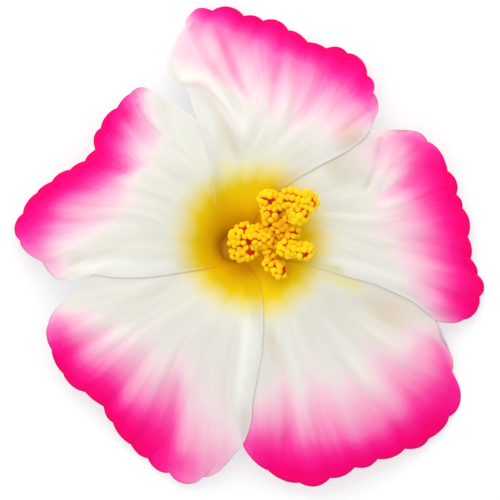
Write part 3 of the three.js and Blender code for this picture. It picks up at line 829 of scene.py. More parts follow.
PETALS = (
    PetalShape(
        name="petal_top", claw=(40, 126), margins=(Lies.OVER, Lies.OVER), tip_drop=4.5,
        free_past=(38, 31), fan=(9, 14), golden=1.04, warm=(26.4, 25, 5.6, 0.5), seed=11,
        clockwise=((5.2, 7.6), (11.7, 13.9), (19, 18.4), (25.2, 21.7), (29.6, 25.3)),
        counter=(
            (-4.6, 6.2), (-5.2, 11), (-5.8, 17), (-6.5, 22.4), (-8.2, 27.2), (-10, 32.4),
            (-11.2, 35.8), (-14, 37.6), (-15.8, 41), (-14.7, 45.4), (-13.4, 48.2), (-11.9, 50.1),
            (-11.5, 52.2),
        ),
        notches=(
            (31.3, 29.4), (31.4, 35.3), (30.1, 39.4), (25.7, 44.7), (20.6, 45.7), (16.4, 47.2),
            (12, 49.9), (6.2, 52.1), (1.7, 53.1), (-5.5, 54.4), (-9.6, 54.4),
        ),
        scallops=(1.1, 0.6, 0.9, 0.55, 0.3, 0.45, 1.05, 0.45, 1.3, 0.45),
        pink=(
            (0, 0.15, 3, 14), (0.05, 0.38, 4.5, 15), (0.12, 0.8, 5.5, 15), (0.2, 1, 7, 15),
            (0.3, 1, 10.5, 19), (0.4, 1, 6, 15), (0.5, 1, 5.6, 15), (0.6, 1, 7.6, 17),
            (0.72, 1, 6, 14), (0.8, 1, 5.6, 12.5), (0.88, 0.95, 4.6, 11), (0.96, 0.82, 3.2, 9.5),
            (1, 0.55, 2.2, 8),
        ),
        folds=(
            Fold(((-14.5, 37.8), (-7.6, 37.4), (-3, 33.6), (0.6, 28), (3, 20)), 0.75, 0.9, 3, 0.12),
            Fold(((-11, 35.4), (-6.6, 33.8), (-3.2, 29), (0.6, 21), (3, 15)), -0.8, 1.8),
            Fold(
                ((-10.4, 50.6), (-9.5, 49.3), (-6.1, 41.7), (-0.9, 34.2), (3.2, 27.9)),
                -0.8, 1.1, 1, 0.12,
            ),
            Fold(((-8, 50), (-4.2, 42.8), (-0.4, 37), (4, 28.4)), 0.5, 1.2),
            Fold(((-5.4, 51), (-2.6, 45.2), (0.5, 37.3), (4.6, 30.4)), -0.7, 1.1, 1, 0.15),
            Fold(((-2, 50), (0.6, 44), (3.2, 38), (7, 29)), 0.35, 1.6),
            Fold(((9.4, 44), (8.8, 36), (8.4, 27)), -0.6, 1.4),
            Fold(((11.6, 46), (11.2, 38), (10.8, 28)), 0.45, 1.3),
            Fold(((14.4, 43), (13.4, 35), (12.2, 24.5)), -0.45, 1.3),
            Fold(((23, 40.5), (20, 32.5), (16, 23)), 0.5, 1.8),
            Fold(((20, 42), (17.4, 34), (14.4, 26)), -0.4, 1.4),
            Fold(((28.5, 34), (23, 28), (16.5, 21)), 0.5, 1.6),
            Fold(((-6, 25), (-5.2, 17), (-4.7, 9.5)), 0.35, 0.7),
            Fold(((-4.2, 30), (-3.4, 20), (-3.2, 11)), -0.5, 1.4),
            Fold(((6, 12.4), (13, 16.6), (20, 20.2), (26, 23)), 0.7, 2.4),
        ),
        blushes=(
            Fold(((-15, 45), (-10, 42.6), (-4, 40), (2, 37)), 0.09, 3.6, 1, 0.01),
            Fold(((-5.2, 50.4), (-2.6, 45.2), (0.5, 37.3), (3, 31)), 0.1, 1.3),
            Fold(
                ((-10.4, 37.4), (-7.1, 36.6), (-4.7, 33.8), (0.5, 26.9), (2.9, 23.8)),
                0.09, 0.9, 1, 0.1,
            ),
            Fold(((11.8, 46.6), (9.4, 40), (8, 37)), 0.1, 1.1),
        ),
        stains=(
            Fold(((-2, 8), (-2.6, 14), (-3.4, 24)), 0.34, 3.4, 1, 0.1),
            Fold(((-5, 8), (-5.4, 12), (-6, 18)), 0.46, 2.4, 1, 0.1),
        ),
    ),
    PetalShape(
        name="petal_right", claw=(-36, 50), margins=(Lies.OVER, Lies.UNDER), tip_drop=2,
        free_past=(47, 38), fan=(15, 1), golden=0.965, seed=23,
        clockwise=(
            (7, -3), (12, -3.8), (17.9, -4.6), (25.2, -6.8), (31.1, -8.3), (36.2, -10.5),
            (39.9, -12.3), (43.3, -14.8),
        ),
        counter=((3.6, 7.4), (8.6, 14.2), (15.8, 20.4), (23.4, 24.6), (29.2, 26.2), (34, 26.8)),
        notches=(
            (45.9, -17), (52.3, -16.8), (56, -11.5), (55.7, -6.6), (54, -2.8), (53.3, 2.3),
            (52.2, 8.9), (50.7, 12.1), (48.7, 17.5), (44.1, 24.2), (38.3, 26),
        ),
        scallops=(0.3, 0.75, 0.85, 0.4, 0.5, 0.9, 0.3, 0.75, 0.6, 0.95),
        pink=(
            (0, 0.1, 6, 12), (0.05, 0.34, 9, 18), (0.12, 1, 8.5, 15.5), (0.2, 1, 11.5, 19.5),
            (0.3, 1, 12, 18), (0.4, 1, 10, 17.5), (0.5, 1, 9.7, 19), (0.6, 1, 13, 18),
            (0.7, 1, 11.5, 14.5), (0.8, 1, 9, 14.5), (0.88, 0.8, 8, 13.5), (0.95, 0.25, 8, 14),
            (1, 0.2, 4, 8),
        ),
        folds=(
            Fold(((42, 25), (35, 19), (28.5, 11.5)), 0.5, 1.7),
            Fold(((46.5, 15.5), (39, 11.2), (31.5, 8)), 0.45, 1.5),
            Fold(((45, 19.5), (38, 14.6), (31, 10)), -0.35, 1.5),
            Fold(((48, 6.5), (42, 4.8), (34, 3.4)), 0.4, 1.6),
            Fold(((48, 1), (41, 0.2), (33, -0.4)), -0.35, 1.8),
            Fold(((52.5, -5), (46, -4.8), (38, -4.6)), 0.45, 1.7),
            Fold(((30, -7.4), (37.5, -9.6), (43, -12.2), (53.5, -16)), 0.8, 1.5),
            Fold(((38, -7), (45, -9.8), (54, -13.8)), -0.6, 1.5),
            Fold(((33.4, 25), (32.4, 17.8), (28.4, 10.8)), -0.8, 1.7),
            Fold(((33.2, 25.4), (32.6, 19.4), (29.2, 12)), -0.6, 0.6, 1, 0.1),
            Fold(((36.8, 23.5), (35, 17), (31.6, 11)), -0.45, 1.1),
            Fold(((19, 17), (27, 19.2), (34, 20.5)), -1.1, 4.2),
            Fold(((14, -2.6), (25, -4.6), (37, -8.2), (50, -14)), 1.1, 2.6),
        ),
        stains=(Fold(((10, -3), (18, -4.2), (28, -6.8)), 0.34, 3, 1, 0.1),),
    ),
    PetalShape(
        name="petal_lower_right", claw=(262, 330), margins=(Lies.UNDER, Lies.UNDER),
        tip_drop=-3.4, free_past=(45, 47), fan=(8, -6), warm=(35, -15, 9, 0.2),
        seed=37,
        clockwise=((1, -7.6), (2.8, -13), (3, -20), (2.2, -28), (1, -35), (0.7, -41)),
        counter=(
            (6.6, -0.8), (12, -0.8), (18, -1.6), (25, -3.6), (32, -5.6), (38, -8.4), (43, -12.4),
            (45.9, -17),
        ),
        notches=(
            (1.6, -45.9), (7.2, -51.5), (14.6, -54.4), (21.6, -53.3), (27.3, -50.8), (32.6, -48.9),
            (38.8, -46.6), (44.4, -44.3), (49, -39.2), (49.5, -29.7), (48.9, -24.4), (46.8, -20.9),
        ),
        scallops=(0.4, 0.3, 0.9, 0.5, 0.85, 0.65, 0.75, 0.2, 2.2, 0.6, 0.1),
        pink=(
            (0, 0.65, 4, 10), (0.1, 1, 10.5, 17), (0.2, 1, 12, 21), (0.3, 1, 9.2, 20),
            (0.4, 1, 7, 19), (0.5, 1, 7.4, 16.5), (0.6, 1, 10, 20), (0.7, 1, 12, 22),
            (0.8, 0.8, 8.5, 14), (0.88, 0.12, 8, 13), (0.95, 0.12, 14, 19), (1, 0.1, 12, 16),
        ),
        folds=(
            Fold(((28, -17), (38, -24.5), (49, -32)), 0.6, 1.7),
            Fold(((31, -15), (40, -20.5), (48.5, -26)), -0.4, 1.6),
            Fold(((22, -21.5), (31.5, -32), (39.5, -42)), 0.6, 1.8),
            Fold(((27, -21.5), (37, -31), (44, -38)), -0.5, 1.9),
            Fold(((6, -14), (8.4, -22.5), (11, -31), (11.8, -41), (11.2, -51)), -1.2, 1.7),
            Fold(((8, -17), (13, -27), (15.2, -38), (15.4, -49)), 0.45, 2),
            Fold(((13, -21), (18, -32), (20.5, -45)), -0.35, 1.6),
            Fold(((17, -22), (23.5, -34), (28, -47)), 0.4, 1.8),
            Fold(((19, -20), (27.5, -32.5), (33.5, -45)), -0.3, 1.4),
            Fold(((24, -9.5), (33, -13.4), (44, -19)), -0.6, 3.4),
        ),
        blushes=(Fold(((50.5, -31), (45, -27), (39, -22.6)), 0.1, 2.4, 1, 0.05),),
        stains=(Fold(((9, -4.5), (17, -5.6), (25, -8), (35, -12)), 0.33, 4.4, 1, 0.1),),
    ),
    PetalShape(
        name="petal_lower_left", claw=(190, 278), margins=(Lies.UNDER, Lies.OVER), tip_drop=2.6,
        free_past=(36, 44), fan=(-6, -7), golden=0.955, seed=41,
        clockwise=(
            (-7.4, -2.2), (-13, -3.4), (-20, -3.9), (-26, -3.9), (-30.4, -4.6), (-35.2, -8.2),
        ),
        counter=(
            (2.8, -5), (5.3, -7.8), (6.1, -12), (6.2, -17), (6, -23), (5.1, -28.8), (3.8, -35.4),
            (3.4, -40), (1.6, -45),
        ),
        notches=(
            (-39.6, -12.7), (-43.2, -17.6), (-42.5, -23.6), (-39.9, -29.2), (-34.8, -33.5),
            (-30.6, -36.8), (-28.4, -40.6), (-24.3, -45.6), (-20.4, -48.8), (-15.4, -52.1),
            (-7.8, -52.9), (-1.8, -48.1),
        ),
        scallops=(0.2, 0.3, 0.2, 0.6, 0.2, 0.5, 0.45, 0.45, 0.7, 1.6, 0.95),
        pink=(
            (0, 0.05, 2, 5), (0.05, 0.07, 2, 5), (0.12, 0.56, 5, 8), (0.2, 1, 7, 13),
            (0.3, 1, 6.8, 14), (0.4, 1, 9.7, 17), (0.5, 1, 4.6, 13.5), (0.6, 1, 11.5, 21),
            (0.7, 1, 13.5, 22), (0.8, 0.86, 6.2, 18.5), (0.88, 0.38, 12, 21), (0.95, 0.22, 10, 15),
            (1, 0.15, 3, 10),
        ),
        folds=(
            Fold(((-42.5, -22), (-35.5, -18.6), (-27, -14.5)), 0.5, 1.4),
            Fold(((-41, -25.5), (-33.5, -21.4), (-25, -17)), -0.4, 1.3),
            Fold(((-40, -29.5), (-32, -24), (-22, -18)), 0.6, 1.8),
            Fold(((-34.5, -33), (-28, -26.4), (-20, -19)), 0.5, 1.4),
            Fold(((-30, -38), (-24, -30), (-17.5, -21.5)), -0.4, 1.6),
            Fold(((-24.5, -44), (-20, -34.5), (-15, -24)), 0.35, 1.8),
            Fold(((-12.4, -52), (-10.4, -38), (-10.6, -25)), 0.5, 2),
            Fold(((-16, -50), (-14.4, -40), (-12.8, -28)), -0.4, 1.5),
            Fold(((3.4, -10), (3.4, -18), (2.6, -28), (0.6, -43)), 1.3, 2.6),
            Fold(((-2.2, -24), (-2.8, -33), (-3.6, -43)), -0.5, 1.7),
        ),
    ),
    PetalShape(
        name="petal_left", claw=(108, 214), margins=(Lies.UNDER, Lies.OVER), tip_drop=4.8,
        free_past=(31, 36), fan=(-9, 7), golden=1.03, seed=53,
        clockwise=(
            (-2.2, 7.6), (-2.7, 13), (-3.4, 19.4), (-5.6, 25.4), (-9.6, 29.2), (-15.4, 33.6),
        ),
        counter=(
            (-4, -4.4), (-7.4, -5.2), (-12.2, -5.9), (-17.5, -6.7), (-22.8, -7.1), (-28.1, -7),
            (-33.2, -6.4), (-37, -7.7),
        ),
        notches=(
            (-20.6, 36.3), (-24.3, 35.2), (-27.4, 31.8), (-31.1, 27.3), (-32.4, 22.3),
            (-34.8, 19.7), (-38.2, 17.7), (-42.4, 15), (-46, 12.4), (-49.2, 7.6), (-49.7, 1.4),
            (-44.5, -3.5), (-40.5, -7.6),
        ),
        scallops=(0.45, 0.15, 0.6, 0.85, 0.4, 0.3, 0.5, 0.15, 0.3, 1.05, 0.5, 0.6),
        pink=(
            (0, 0.2, 1.5, 3), (0.05, 0.4, 2, 3.5), (0.12, 0.78, 3, 7.4), (0.2, 1, 5.4, 10.5),
            (0.3, 1, 7.4, 12.5), (0.4, 1, 8.6, 11), (0.5, 1, 9.4, 13.5), (0.6, 1, 12.5, 18),
            (0.7, 1, 9, 17), (0.8, 0.97, 8, 14.5), (0.88, 0.42, 5, 10.5), (0.95, 0.18, 4, 7),
            (1, 0.1, 3, 6),
        ),
        folds=(
            Fold(((-22.5, 33), (-18.6, 28), (-14, 22.5)), 0.7, 1),
            Fold(((-23, 33), (-19.8, 28.4), (-15.6, 23.6)), -0.9, 0.6, 1, 0.1),
            Fold(((-26, 31), (-21.8, 26), (-16.8, 21)), -0.8, 1, 1, 0.1),
            Fold(((-43, 9), (-35.5, 11.2), (-27, 11.8)), 0.6, 2.2),
            Fold(((-46.5, 6.8), (-36.5, 5.3), (-26, 6.2)), -0.7, 1.3),
            Fold(((-47.5, 3), (-40, 2.6), (-30, 2.8)), -0.5, 1.2),
            Fold(((-34.5, 17.8), (-28, 17.4), (-21, 18)), -0.6, 1.6),
            Fold(((-33, 22.5), (-27, 21.5), (-20, 20)), 0.35, 1.6),
            Fold(((-39, -5.4), (-33.5, -2.4), (-24, 0)), -0.7, 1.2),
            Fold(((-38, -7), (-32, -4.4), (-22, -2.4)), 0.6, 1.7),
            Fold(((-38, -5.2), (-26, -5.4), (-16, -4.8), (-6, -3.6)), 0.9, 2),
        ),
        blushes=(Fold(((-24.6, 32.6), (-20.8, 27.6), (-16.4, 23)), 0.1, 0.8, 1, 0.05),),
    ),
)


@dataclass
class Petal:
    """A petal: a thin sheet that follows the common surface, with folds, a frilled rim and pink.

    For every vertex of its grid, `share` is the share of the way from the clockwise to the
    counter-clockwise margin, `along` the share of the way from the claw to the rim, `plan` its
    place, `radius` how far that is off the axis, and `apart` how far the petals have parted
    there, from 0 in the throat, where they join, to 1.
    """

    shape: PetalShape
    surface: CommonSurface
    seat: Seat
    columns_per_scallop: int = 16
    rows: int = 112
    row_crowding: float = 1.3
    throat_join: Point2 = (11.0, 19.0)
    layer_gap: Point2 = (0.04, 0.12)
    layer_turn: Point2 = (0.3, 0.8)
    layer_turn_spread: Point2 = (0.05, 0.6)
    tip_curl_start: float = 22.0
    tip_curl_margin: Point2 = (0.36, 0.76)
    scallop_share: float = 0.86
    thickness: float = 0.56
    throat_thickness: float = 0.1
    margin_thickness: float = 0.18
    margin_width: Point2 = (0.5, 7.0)
    edge_radius: float = 0.3
    # Reaches of the painted dark line of shade along the rim and margins, and of the painted
    # highlight along the parted margins.
    edge_shade_reach: float = 0.4
    margin_highlight_reach: float = 0.4
    neighbour_share: Point2 = (0.36, 0.66)
    neighbour_end: Point2 = (-4.0, 2.0)
    funnel_end: Point2 = (9.0, 15.0)
    most_towards_neighbour: Point2 = (0.015, 0.04)
    table_clearance: float = 0.06
    dome_height: float = 0.28
    dome_reach: float = 5.5
    dome_foot: float = 0.6
    fan_height: float = 0.115
    fan_width: float = 0.32
    fan_opening: Point2 = (4.0, 22.0)
    fan_waves: tuple[int, ...] = (5, 7, 9, 12, 15, 19, 24, 30, 37)
    largest_wave: float = 6.0
    pink_drift: float = 0.03
    pink_in_creases: float = 0.12
    full_crease: float = 0.6
    pink_shoulder: float = 1.8
    pink_tail: float = 1.2
    pink_end: float = 2.2
    # Reliefs over which the painted shade of the creases and the painted highlight of the ridges
    # come in.
    hollow_depth: Point2 = (0.1, 1.0)
    crest_height: Point2 = (0.15, 1.1)
    throat_middle: Point2 = (4.0, 1.0)
    throat_scale: float = 25.4
    # Middle and reach of the painted shade in the throat's well.
    well_middle: Point2 = (-1.2, 0.2)
    well_reach: Point2 = (2.6, 5.2)
    edge_insets: tuple[float, ...] = (0.0008, 0.0025)
    curves: dict[str, Spline] = field(init=False)
    share: Array = field(init=False)
    along: Array = field(init=False)
    plan: Array = field(init=False)
    radius: Array = field(init=False)
    apart: Array = field(init=False)
    from_rim: Array = field(init=False)
    from_margin: Array = field(init=False)
    from_edge: Array = field(init=False)

    def __post_init__(self) -> None:
        """Works out the outline's curves and lays the grid."""
        shape = self.shape
        self.curves = {
            "clockwise": Spline([self._claw(shape.claw[0]), *shape.clockwise, shape.notches[0]]),
            "counter": Spline([self._claw(shape.claw[1]), *shape.counter, shape.notches[-1]]),
            "rim": Spline(shape.notches),
        }
        insets = np.array(self.edge_insets)
        columns = np.linspace(0.0, 1.0, len(shape.scallops) * self.columns_per_scallop + 1)
        rows = 1.0 - np.linspace(1.0, 0.0, self.rows) ** self.row_crowding
        self.share, self.along = np.meshgrid(
            *(np.sort(np.concatenate([steps, insets, 1.0 - insets])) for steps in (columns, rows))
        )
        self.plan = self._place(self.share, self.along)
        self.radius = self._off((0.0, 0.0))
        self.apart = smooth(self._off(self.throat_middle), *self.throat_join)
        steps = np.linalg.norm(np.diff(self.plan, axis=0), axis=-1)
        run = np.concatenate([np.zeros((1, steps.shape[1])), np.cumsum(steps, axis=0)])
        width = np.linalg.norm(np.diff(self.plan, axis=1), axis=-1).sum(axis=1)[:, None]
        self.from_rim = run[-1] - run
        self.from_margin = np.minimum(self.share, 1.0 - self.share) * width
        self.from_edge = np.minimum(np.minimum(self.from_rim, run), self.from_margin)

    def _claw(self, degrees: Array) -> Array:
        """Returns points of the throat's circle in given directions."""
        turn = np.radians(degrees)
        return self.surface.throat_radius * np.stack([np.cos(turn), np.sin(turn)], axis=-1)

    def _scallop(self, share: Array) -> tuple[Array, Array]:
        """Gives the lobe of the rim at each share of its length.

        Args:
            share: Shares of the rim, from the clockwise corner.

        Returns:
            The lobe's full height, and the share of it that stands there.
        """
        heights = np.array(self.shape.scallops)
        place = share * len(heights)
        which = np.minimum(place.astype(int), len(heights) - 1)
        within = 2.0 * (place - which) - 1.0
        return heights[which], 1.0 - within * within

    def _place(self, share: Array, along: Array) -> Array:
        """Gives places in plan, on the patch that the claw, the margins and the rim span.

        Args:
            share: Share of the way across.
            along: Share of the way out.

        Returns:
            Places in millimetres off the axis.
        """
        first, last = self.shape.claw
        rim = self.curves["rim"]
        across = share[..., None]
        out = along[..., None]
        place = self._claw(first + share * (last - first)) * (1.0 - out) + rim.at(share) * out
        for key, weight, degrees, end in (
            ("clockwise", 1.0 - across, first, 0.0),
            ("counter", across, last, 1.0),
        ):
            straight = self._claw(degrees) * (1.0 - out) + rim.at(np.array(end)) * out
            place = place + (self.curves[key].along(along) - straight) * weight
        tangent = rim.tangent(share)
        outward = np.stack([tangent[..., 1], -tangent[..., 0]], axis=-1)
        height, stand = self._scallop(share)
        reach = height * stand * smooth(along, self.scallop_share, 1.0)
        return place + outward * reach[..., None]

    def _off(self, middle: Point2) -> Array:
        """Returns the distance in plan from a point."""
        return np.hypot(self.plan[..., 0] - middle[0], self.plan[..., 1] - middle[1])

    def _across(self) -> Array:
        """Returns how far across each place is, from -1 at the clockwise margin to 1."""
        return 2.0 * self.share - 1.0

    def _side(self) -> Array:
        """Gives the side of the common surface that the petal lies on.

        Returns:
            1 over the surface to -1 under it.
        """
        turn = blend(*self.layer_turn, smooth(self.along, *self.layer_turn_spread))
        first, second = (margin.value for margin in self.shape.margins)
        return blend(first, second, smooth(self._across() / turn, -1.0, 1.0))

    def _half(self) -> Array:
        """Gives half the thickness, which thins towards the edges and into the throat.

        Returns:
            Half the thickness at each vertex, 0 at the rounded edge.
        """
        inside = smooth(self.from_edge, *self.margin_width)
        thick = np.minimum(
            blend(self.margin_thickness, self.thickness, inside),
            blend(self.throat_thickness, self.thickness, self.apart),
        )
        return 0.5 * thick * edge_round(self.from_edge, self.edge_radius)

    def _spread(self) -> Array:
        """Gives each place's side of the fan that the petal's fibres make.

        Returns:
            The angle from the middle of the fan, in widths of it.
        """
        origin = np.array(self.shape.fan)
        middle = self._place(np.array(0.5), np.array(1.0)) - origin
        offset = self.plan - origin
        side = middle[0] * offset[..., 1] - middle[1] * offset[..., 0]
        front = middle[0] * offset[..., 0] + middle[1] * offset[..., 1]
        opened = smooth(self._off(self.shape.fan), *self.fan_opening)
        angle = np.arctan2(side, front) / TURN
        return blend((self.share - 0.5) * self.fan_width, angle, opened) / self.fan_width

    def _fan(self) -> Array:
        """Gives the fine ridges, which fan out from the claw and grow more numerous to the rim.

        Returns:
            Their height at each vertex.
        """
        draw = np.random.default_rng(self.shape.seed)
        place = self._spread()
        relief = np.zeros_like(place)
        for waves in self.fan_waves:
            phase, drift, lilt, swell = draw.uniform(0.0, TURN, 4)
            size = self.largest_wave / waves * (0.6 + 0.4 * np.sin(3.0 * place + swell))
            bend = 0.5 * np.sin(4.0 * self.along + lilt)
            appears = smooth(self.along, 0.2 + waves * 0.008, 0.58 + waves * 0.011)
            relief += size * appears * np.sin(TURN * waves * place + phase + drift * bend)
        return self.fan_height * relief

    def _folded(self) -> Array:
        """Gives the relief of the folds, the fibres and the frilled rim.

        Returns:
            Its height at each vertex.
        """
        relief = self._fan()
        for fold in self.shape.folds:
            relief = relief + fold.relief(self.plan)
        _, stand = self._scallop(self.share)
        near_rim = 1.0 - smooth(self.from_rim, 0.0, self.dome_reach)
        return relief + self.dome_height * (stand - self.dome_foot) * near_rim

    def _kept_clear(self, relief: Array) -> Array:
        """Flattens the relief where the petal lies against a neighbour.

        Args:
            relief: Height of the relief.

        Returns:
            What is left of it, along the surface's normal.
        """
        past = self.radius - np.where(self._across() < 0.0, *self.shape.free_past)
        beside = smooth(np.abs(self._across()), *self.neighbour_share)
        shared = np.maximum(
            beside * (1.0 - smooth(past, *self.neighbour_end)),
            1.0 - smooth(self.radius, *self.funnel_end),
        )
        limit = blend(*self.most_towards_neighbour, self.apart)
        return blend(relief, limit * np.tanh(relief / limit), shared)

    def _pink(self, relief: Array) -> Array:
        """Gives the strength of the pink, which runs further in along the creases.

        Args:
            relief: Height of the relief.

        Returns:
            Strengths from 0 to 1.
        """
        places, *levels = np.array(self.shape.pink).T
        around = [self.share + drift for drift in (-self.pink_drift, 0.0, self.pink_drift)]
        peak, half, gone = (
            sum(np.interp(near, places, level) for near in around) / len(around)
            for level in levels
        )
        shift = self.pink_in_creases * np.tanh(relief / self.full_crease)
        inset = self.from_rim * (1.0 + shift)
        near = 1.0 - 0.5 * np.clip(inset / half, 0.0, 1.0) ** self.pink_shoulder
        past = np.maximum(inset - half, 0.0) / (gone - half)
        far = 0.5 * np.exp(-self.pink_tail * past)
        fade = 1.0 - smooth(inset, gone, gone * self.pink_end)
        pink = np.clip(peak * np.where(inset < half, near, far) * fade, 0.0, 1.0)
        for blush in self.shape.blushes:
            pink = pink + (1.0 - pink) * blush.relief(self.plan)
        return pink

    def _throat(self) -> Array:
        """Gives how deep in the yellow throat each vertex lies.

        Returns:
            1 in the middle of the throat to 0 outside it.
        """
        reach = self.throat_scale * self.shape.golden
        throat = np.clip(1.0 - self._off(self.throat_middle) / reach, 0.0, 1.0)
        for stain in self.shape.stains:
            throat = np.maximum(throat, stain.relief(self.plan))
        return throat

    def _warm(self) -> Array:
        """Returns how strong the painted peach shade is at each place."""
        *middle, radius, most = self.shape.warm
        return most * (1.0 - smooth(self._off(middle), 0.0, radius))

    def build(self, material: Material) -> Piece:
        """Makes the petal.

        Args:
            material: The finish of the petals.

        Returns:
            The petal's object.
        """
        folded = self._folded()
        half = self._half()
        tip = smooth(self.radius, self.tip_curl_start, self.surface.droop_reach)
        open_middle = 1.0 - smooth(np.abs(self._across()), *self.tip_curl_margin)
        height = self.surface.height(self.plan) - self.shape.tip_drop * tip * open_middle
        lift = self._side() * (half + 0.5 * blend(*self.layer_gap, self.apart))
        lift = lift + self._kept_clear(folded)
        middle = np.concatenate([self.plan, height[..., None]], axis=-1)
        middle = middle + self.surface.normal(self.plan) * lift[..., None]
        middle[..., 2] = np.maximum(middle[..., 2], half + self.table_clearance)
        normal = unit(np.cross(np.gradient(middle, axis=0), np.gradient(middle, axis=1)))
        upper, lower = (
            self.seat.metres(middle + normal * side[..., None]) for side in (half, -half)
        )
        from_side = np.minimum(self.from_rim, self.from_margin + 1.0)
        fields = {
            "pink": self._pink(folded),
            "throat": self._throat(),
            # Painted light from here on: shade in the throat's well, a highlight along the parted
            # margins, a peach patch of shade, shade in the creases, a highlight on the ridges and a
            # dark line of shade along the rim and margins.
            "well": 1.0 - smooth(self._off(self.well_middle), *self.well_reach),
            "margin": np.exp(-self.from_margin / self.margin_highlight_reach) * self.apart,
            "warm": self._warm(),
            "hollow": smooth(-folded, *self.hollow_depth),
            "crest": smooth(folded, *self.crest_height),
            "edge": np.exp(-from_side / self.edge_shade_reach),
        }
        uv = np.stack([self._spread(), self.along], axis=-1)
        return sheet_piece(self.shape.name, upper, lower, material, fields, uv)


@dataclass
class Corolla:
    """The five petals, which overlap in a whorl."""

    surface: CommonSurface
    seat: Seat
    finish: PetalFinish = PetalFinish()

    def build(self) -> None:
        """Makes and dresses the petals."""
        material = self.finish.material()
        for shape in PETALS:
            petal = Petal(shape, self.surface, self.seat).build(material)
            declare(petal, shape.name)


# ---- column and anthers


ROD_SIDES = 20


def tube(path: Sequence[Point3], radii: Sequence[float], steps: int) -> tuple[Array, Faces]:
    """Makes a closed round rod along a smooth path.

    Args:
        path: Points of the path.
        radii: Radius at each of these points.
        steps: Number of steps along it.

    Returns:
        The vertices and the faces.
    """
    spline = Spline([(*point, radius) for point, radius in zip(path, radii)])
    places = spline.along(np.linspace(0.0, 1.0, steps + 1))
    centre = places[:, :3]
    ahead = unit(np.gradient(centre, axis=0))
    side = unit(np.cross(ahead, np.array([0.3, 1.0, 0.2])))
    up = np.cross(side, ahead)
    turns = np.linspace(0.0, TURN, ROD_SIDES, endpoint=False)[None, :, None]
    ring = np.cos(turns) * side[:, None] + np.sin(turns) * up[:, None]
    points = (centre[:, None] + ring * places[:, None, 3:]).reshape(-1, 3)
    numbers = np.arange((steps + 1) * ROD_SIDES).reshape(-1, ROD_SIDES)
    ends = [tuple(numbers[0].tolist()), tuple(numbers[-1, ::-1].tolist())]
    return points, ring_faces(numbers) + ends


@dataclass
class Grown:
    """Rods and lumps that have grown together into one skin.

    `steps` is the number of steps along each rod, `voxel` the size of the skin's faces in
    millimetres and `softenings` how many times it is smoothed.
    """

    seat: Seat
    steps: int
    voxel: float
    softenings: int

    def build(
        self,
        name: str,
        rods: Iterable[tuple[Sequence[Point3], Sequence[float]]],
        material: Material,
    ) -> Piece:
        """Makes the skin.

        Args:
            name: Name of the piece.
            rods: The path of each rod, and its radii.
            material: The finish of the skin.

        Returns:
            The skin as a plain mesh.
        """
        points: list[Array] = []
        faces: Faces = []
        for path, radii in rods:
            rod_points, rod_faces = tube(path, radii, self.steps)
            start = sum(len(part) for part in points)
            points.append(rod_points)
            faces += [tuple(corner + start for corner in face) for face in rod_faces]
        metres = self.seat.metres(np.concatenate(points))
        rough = mesh_piece(name + "_rough", metres, faces, material)
        skin = rough.modifiers.new("skin", "REMESH")
        skin.mode = "VOXEL"
        skin.voxel_size = self.voxel * MM
        skin.use_smooth_shade = True
        soften = rough.modifiers.new("soften", "SMOOTH")
        soften.factor = 0.5
        soften.iterations = self.softenings
        return evaluated_piece(name, rough)


@dataclass
class Column:
    """The staminal column, which leans out of the throat and branches to the heads of anthers."""

    seat: Seat
    main: tuple[Point3, ...] = (
        (0.0, 0.0, 3.7), (0.05, 0.0, 5.0), (0.5, 0.3, 8.0), (2.4, 1.3, 11.8), (6.2, 2.9, 14.8),
    )
    tip: tuple[Point3, ...] = (
        (5.4, 2.6, 14.2), (8.2, 3.8, 16.4), (11.2, 5.6, 18.4), (13.8, 8.6, 20.2),
    )
    branches: tuple[tuple[Point3, ...], ...] = (
        ((6.8, 3.2, 15.4), (7.0, 5.8, 16.8), (7.7, 8.6, 17.6)),
        ((9.6, 4.6, 17.4), (12.4, 1.8, 17.6), (14.0, -0.6, 17.8)),
        ((5.8, 2.6, 14.6), (7.2, -1.0, 14.4), (8.8, -4.6, 14.8)),
        ((6.6, 1.6, 14.2), (9.0, 0.6, 15.0), (11.4, 0.0, 16.4)),
        ((8.6, 4.4, 16.0), (10.2, 2.6, 15.6), (12.6, 2.4, 16.6)),
    )
    radii: Point3 = (1.3, 0.95, 0.7)
    taper: Point2 = (1.03, 0.92)

    def build(self, material: Material) -> Piece:
        """Makes the column as one grown skin.

        Args:
            material: The finish of the column.

        Returns:
            The column's object.
        """
        main, tip, branch = self.radii
        rods = [(self.main, main), (self.tip, tip), *((path, branch) for path in self.branches)]
        tapered = [
            (path, np.linspace(radius * self.taper[0], radius * self.taper[1], len(path)))
            for path, radius in rods
        ]
        skin = Grown(self.seat, steps=28, voxel=0.16, softenings=6)
        return skin.build("staminal_column", tapered, material)


@dataclass(frozen=True)
class Knob:
    """One rounded lump of a head of anthers."""

    x: float
    y: float
    z: float
    radius: float

    def rod(self, depth: float) -> tuple[list[Point3], list[float]]:
        """Gives a short fat rod with the knob's shape.

        Args:
            depth: How far below the knob's surface that of the rod lies.

        Returns:
            The path of the rod, and its radii.
        """
        radius = self.radius - depth
        turns = np.linspace(-math.pi / 2.0, math.pi / 2.0, 17)
        path = [(self.x, self.y, self.z + radius * math.sin(turn)) for turn in turns]
        return path, [max(radius * math.cos(turn), 0.02) for turn in turns]


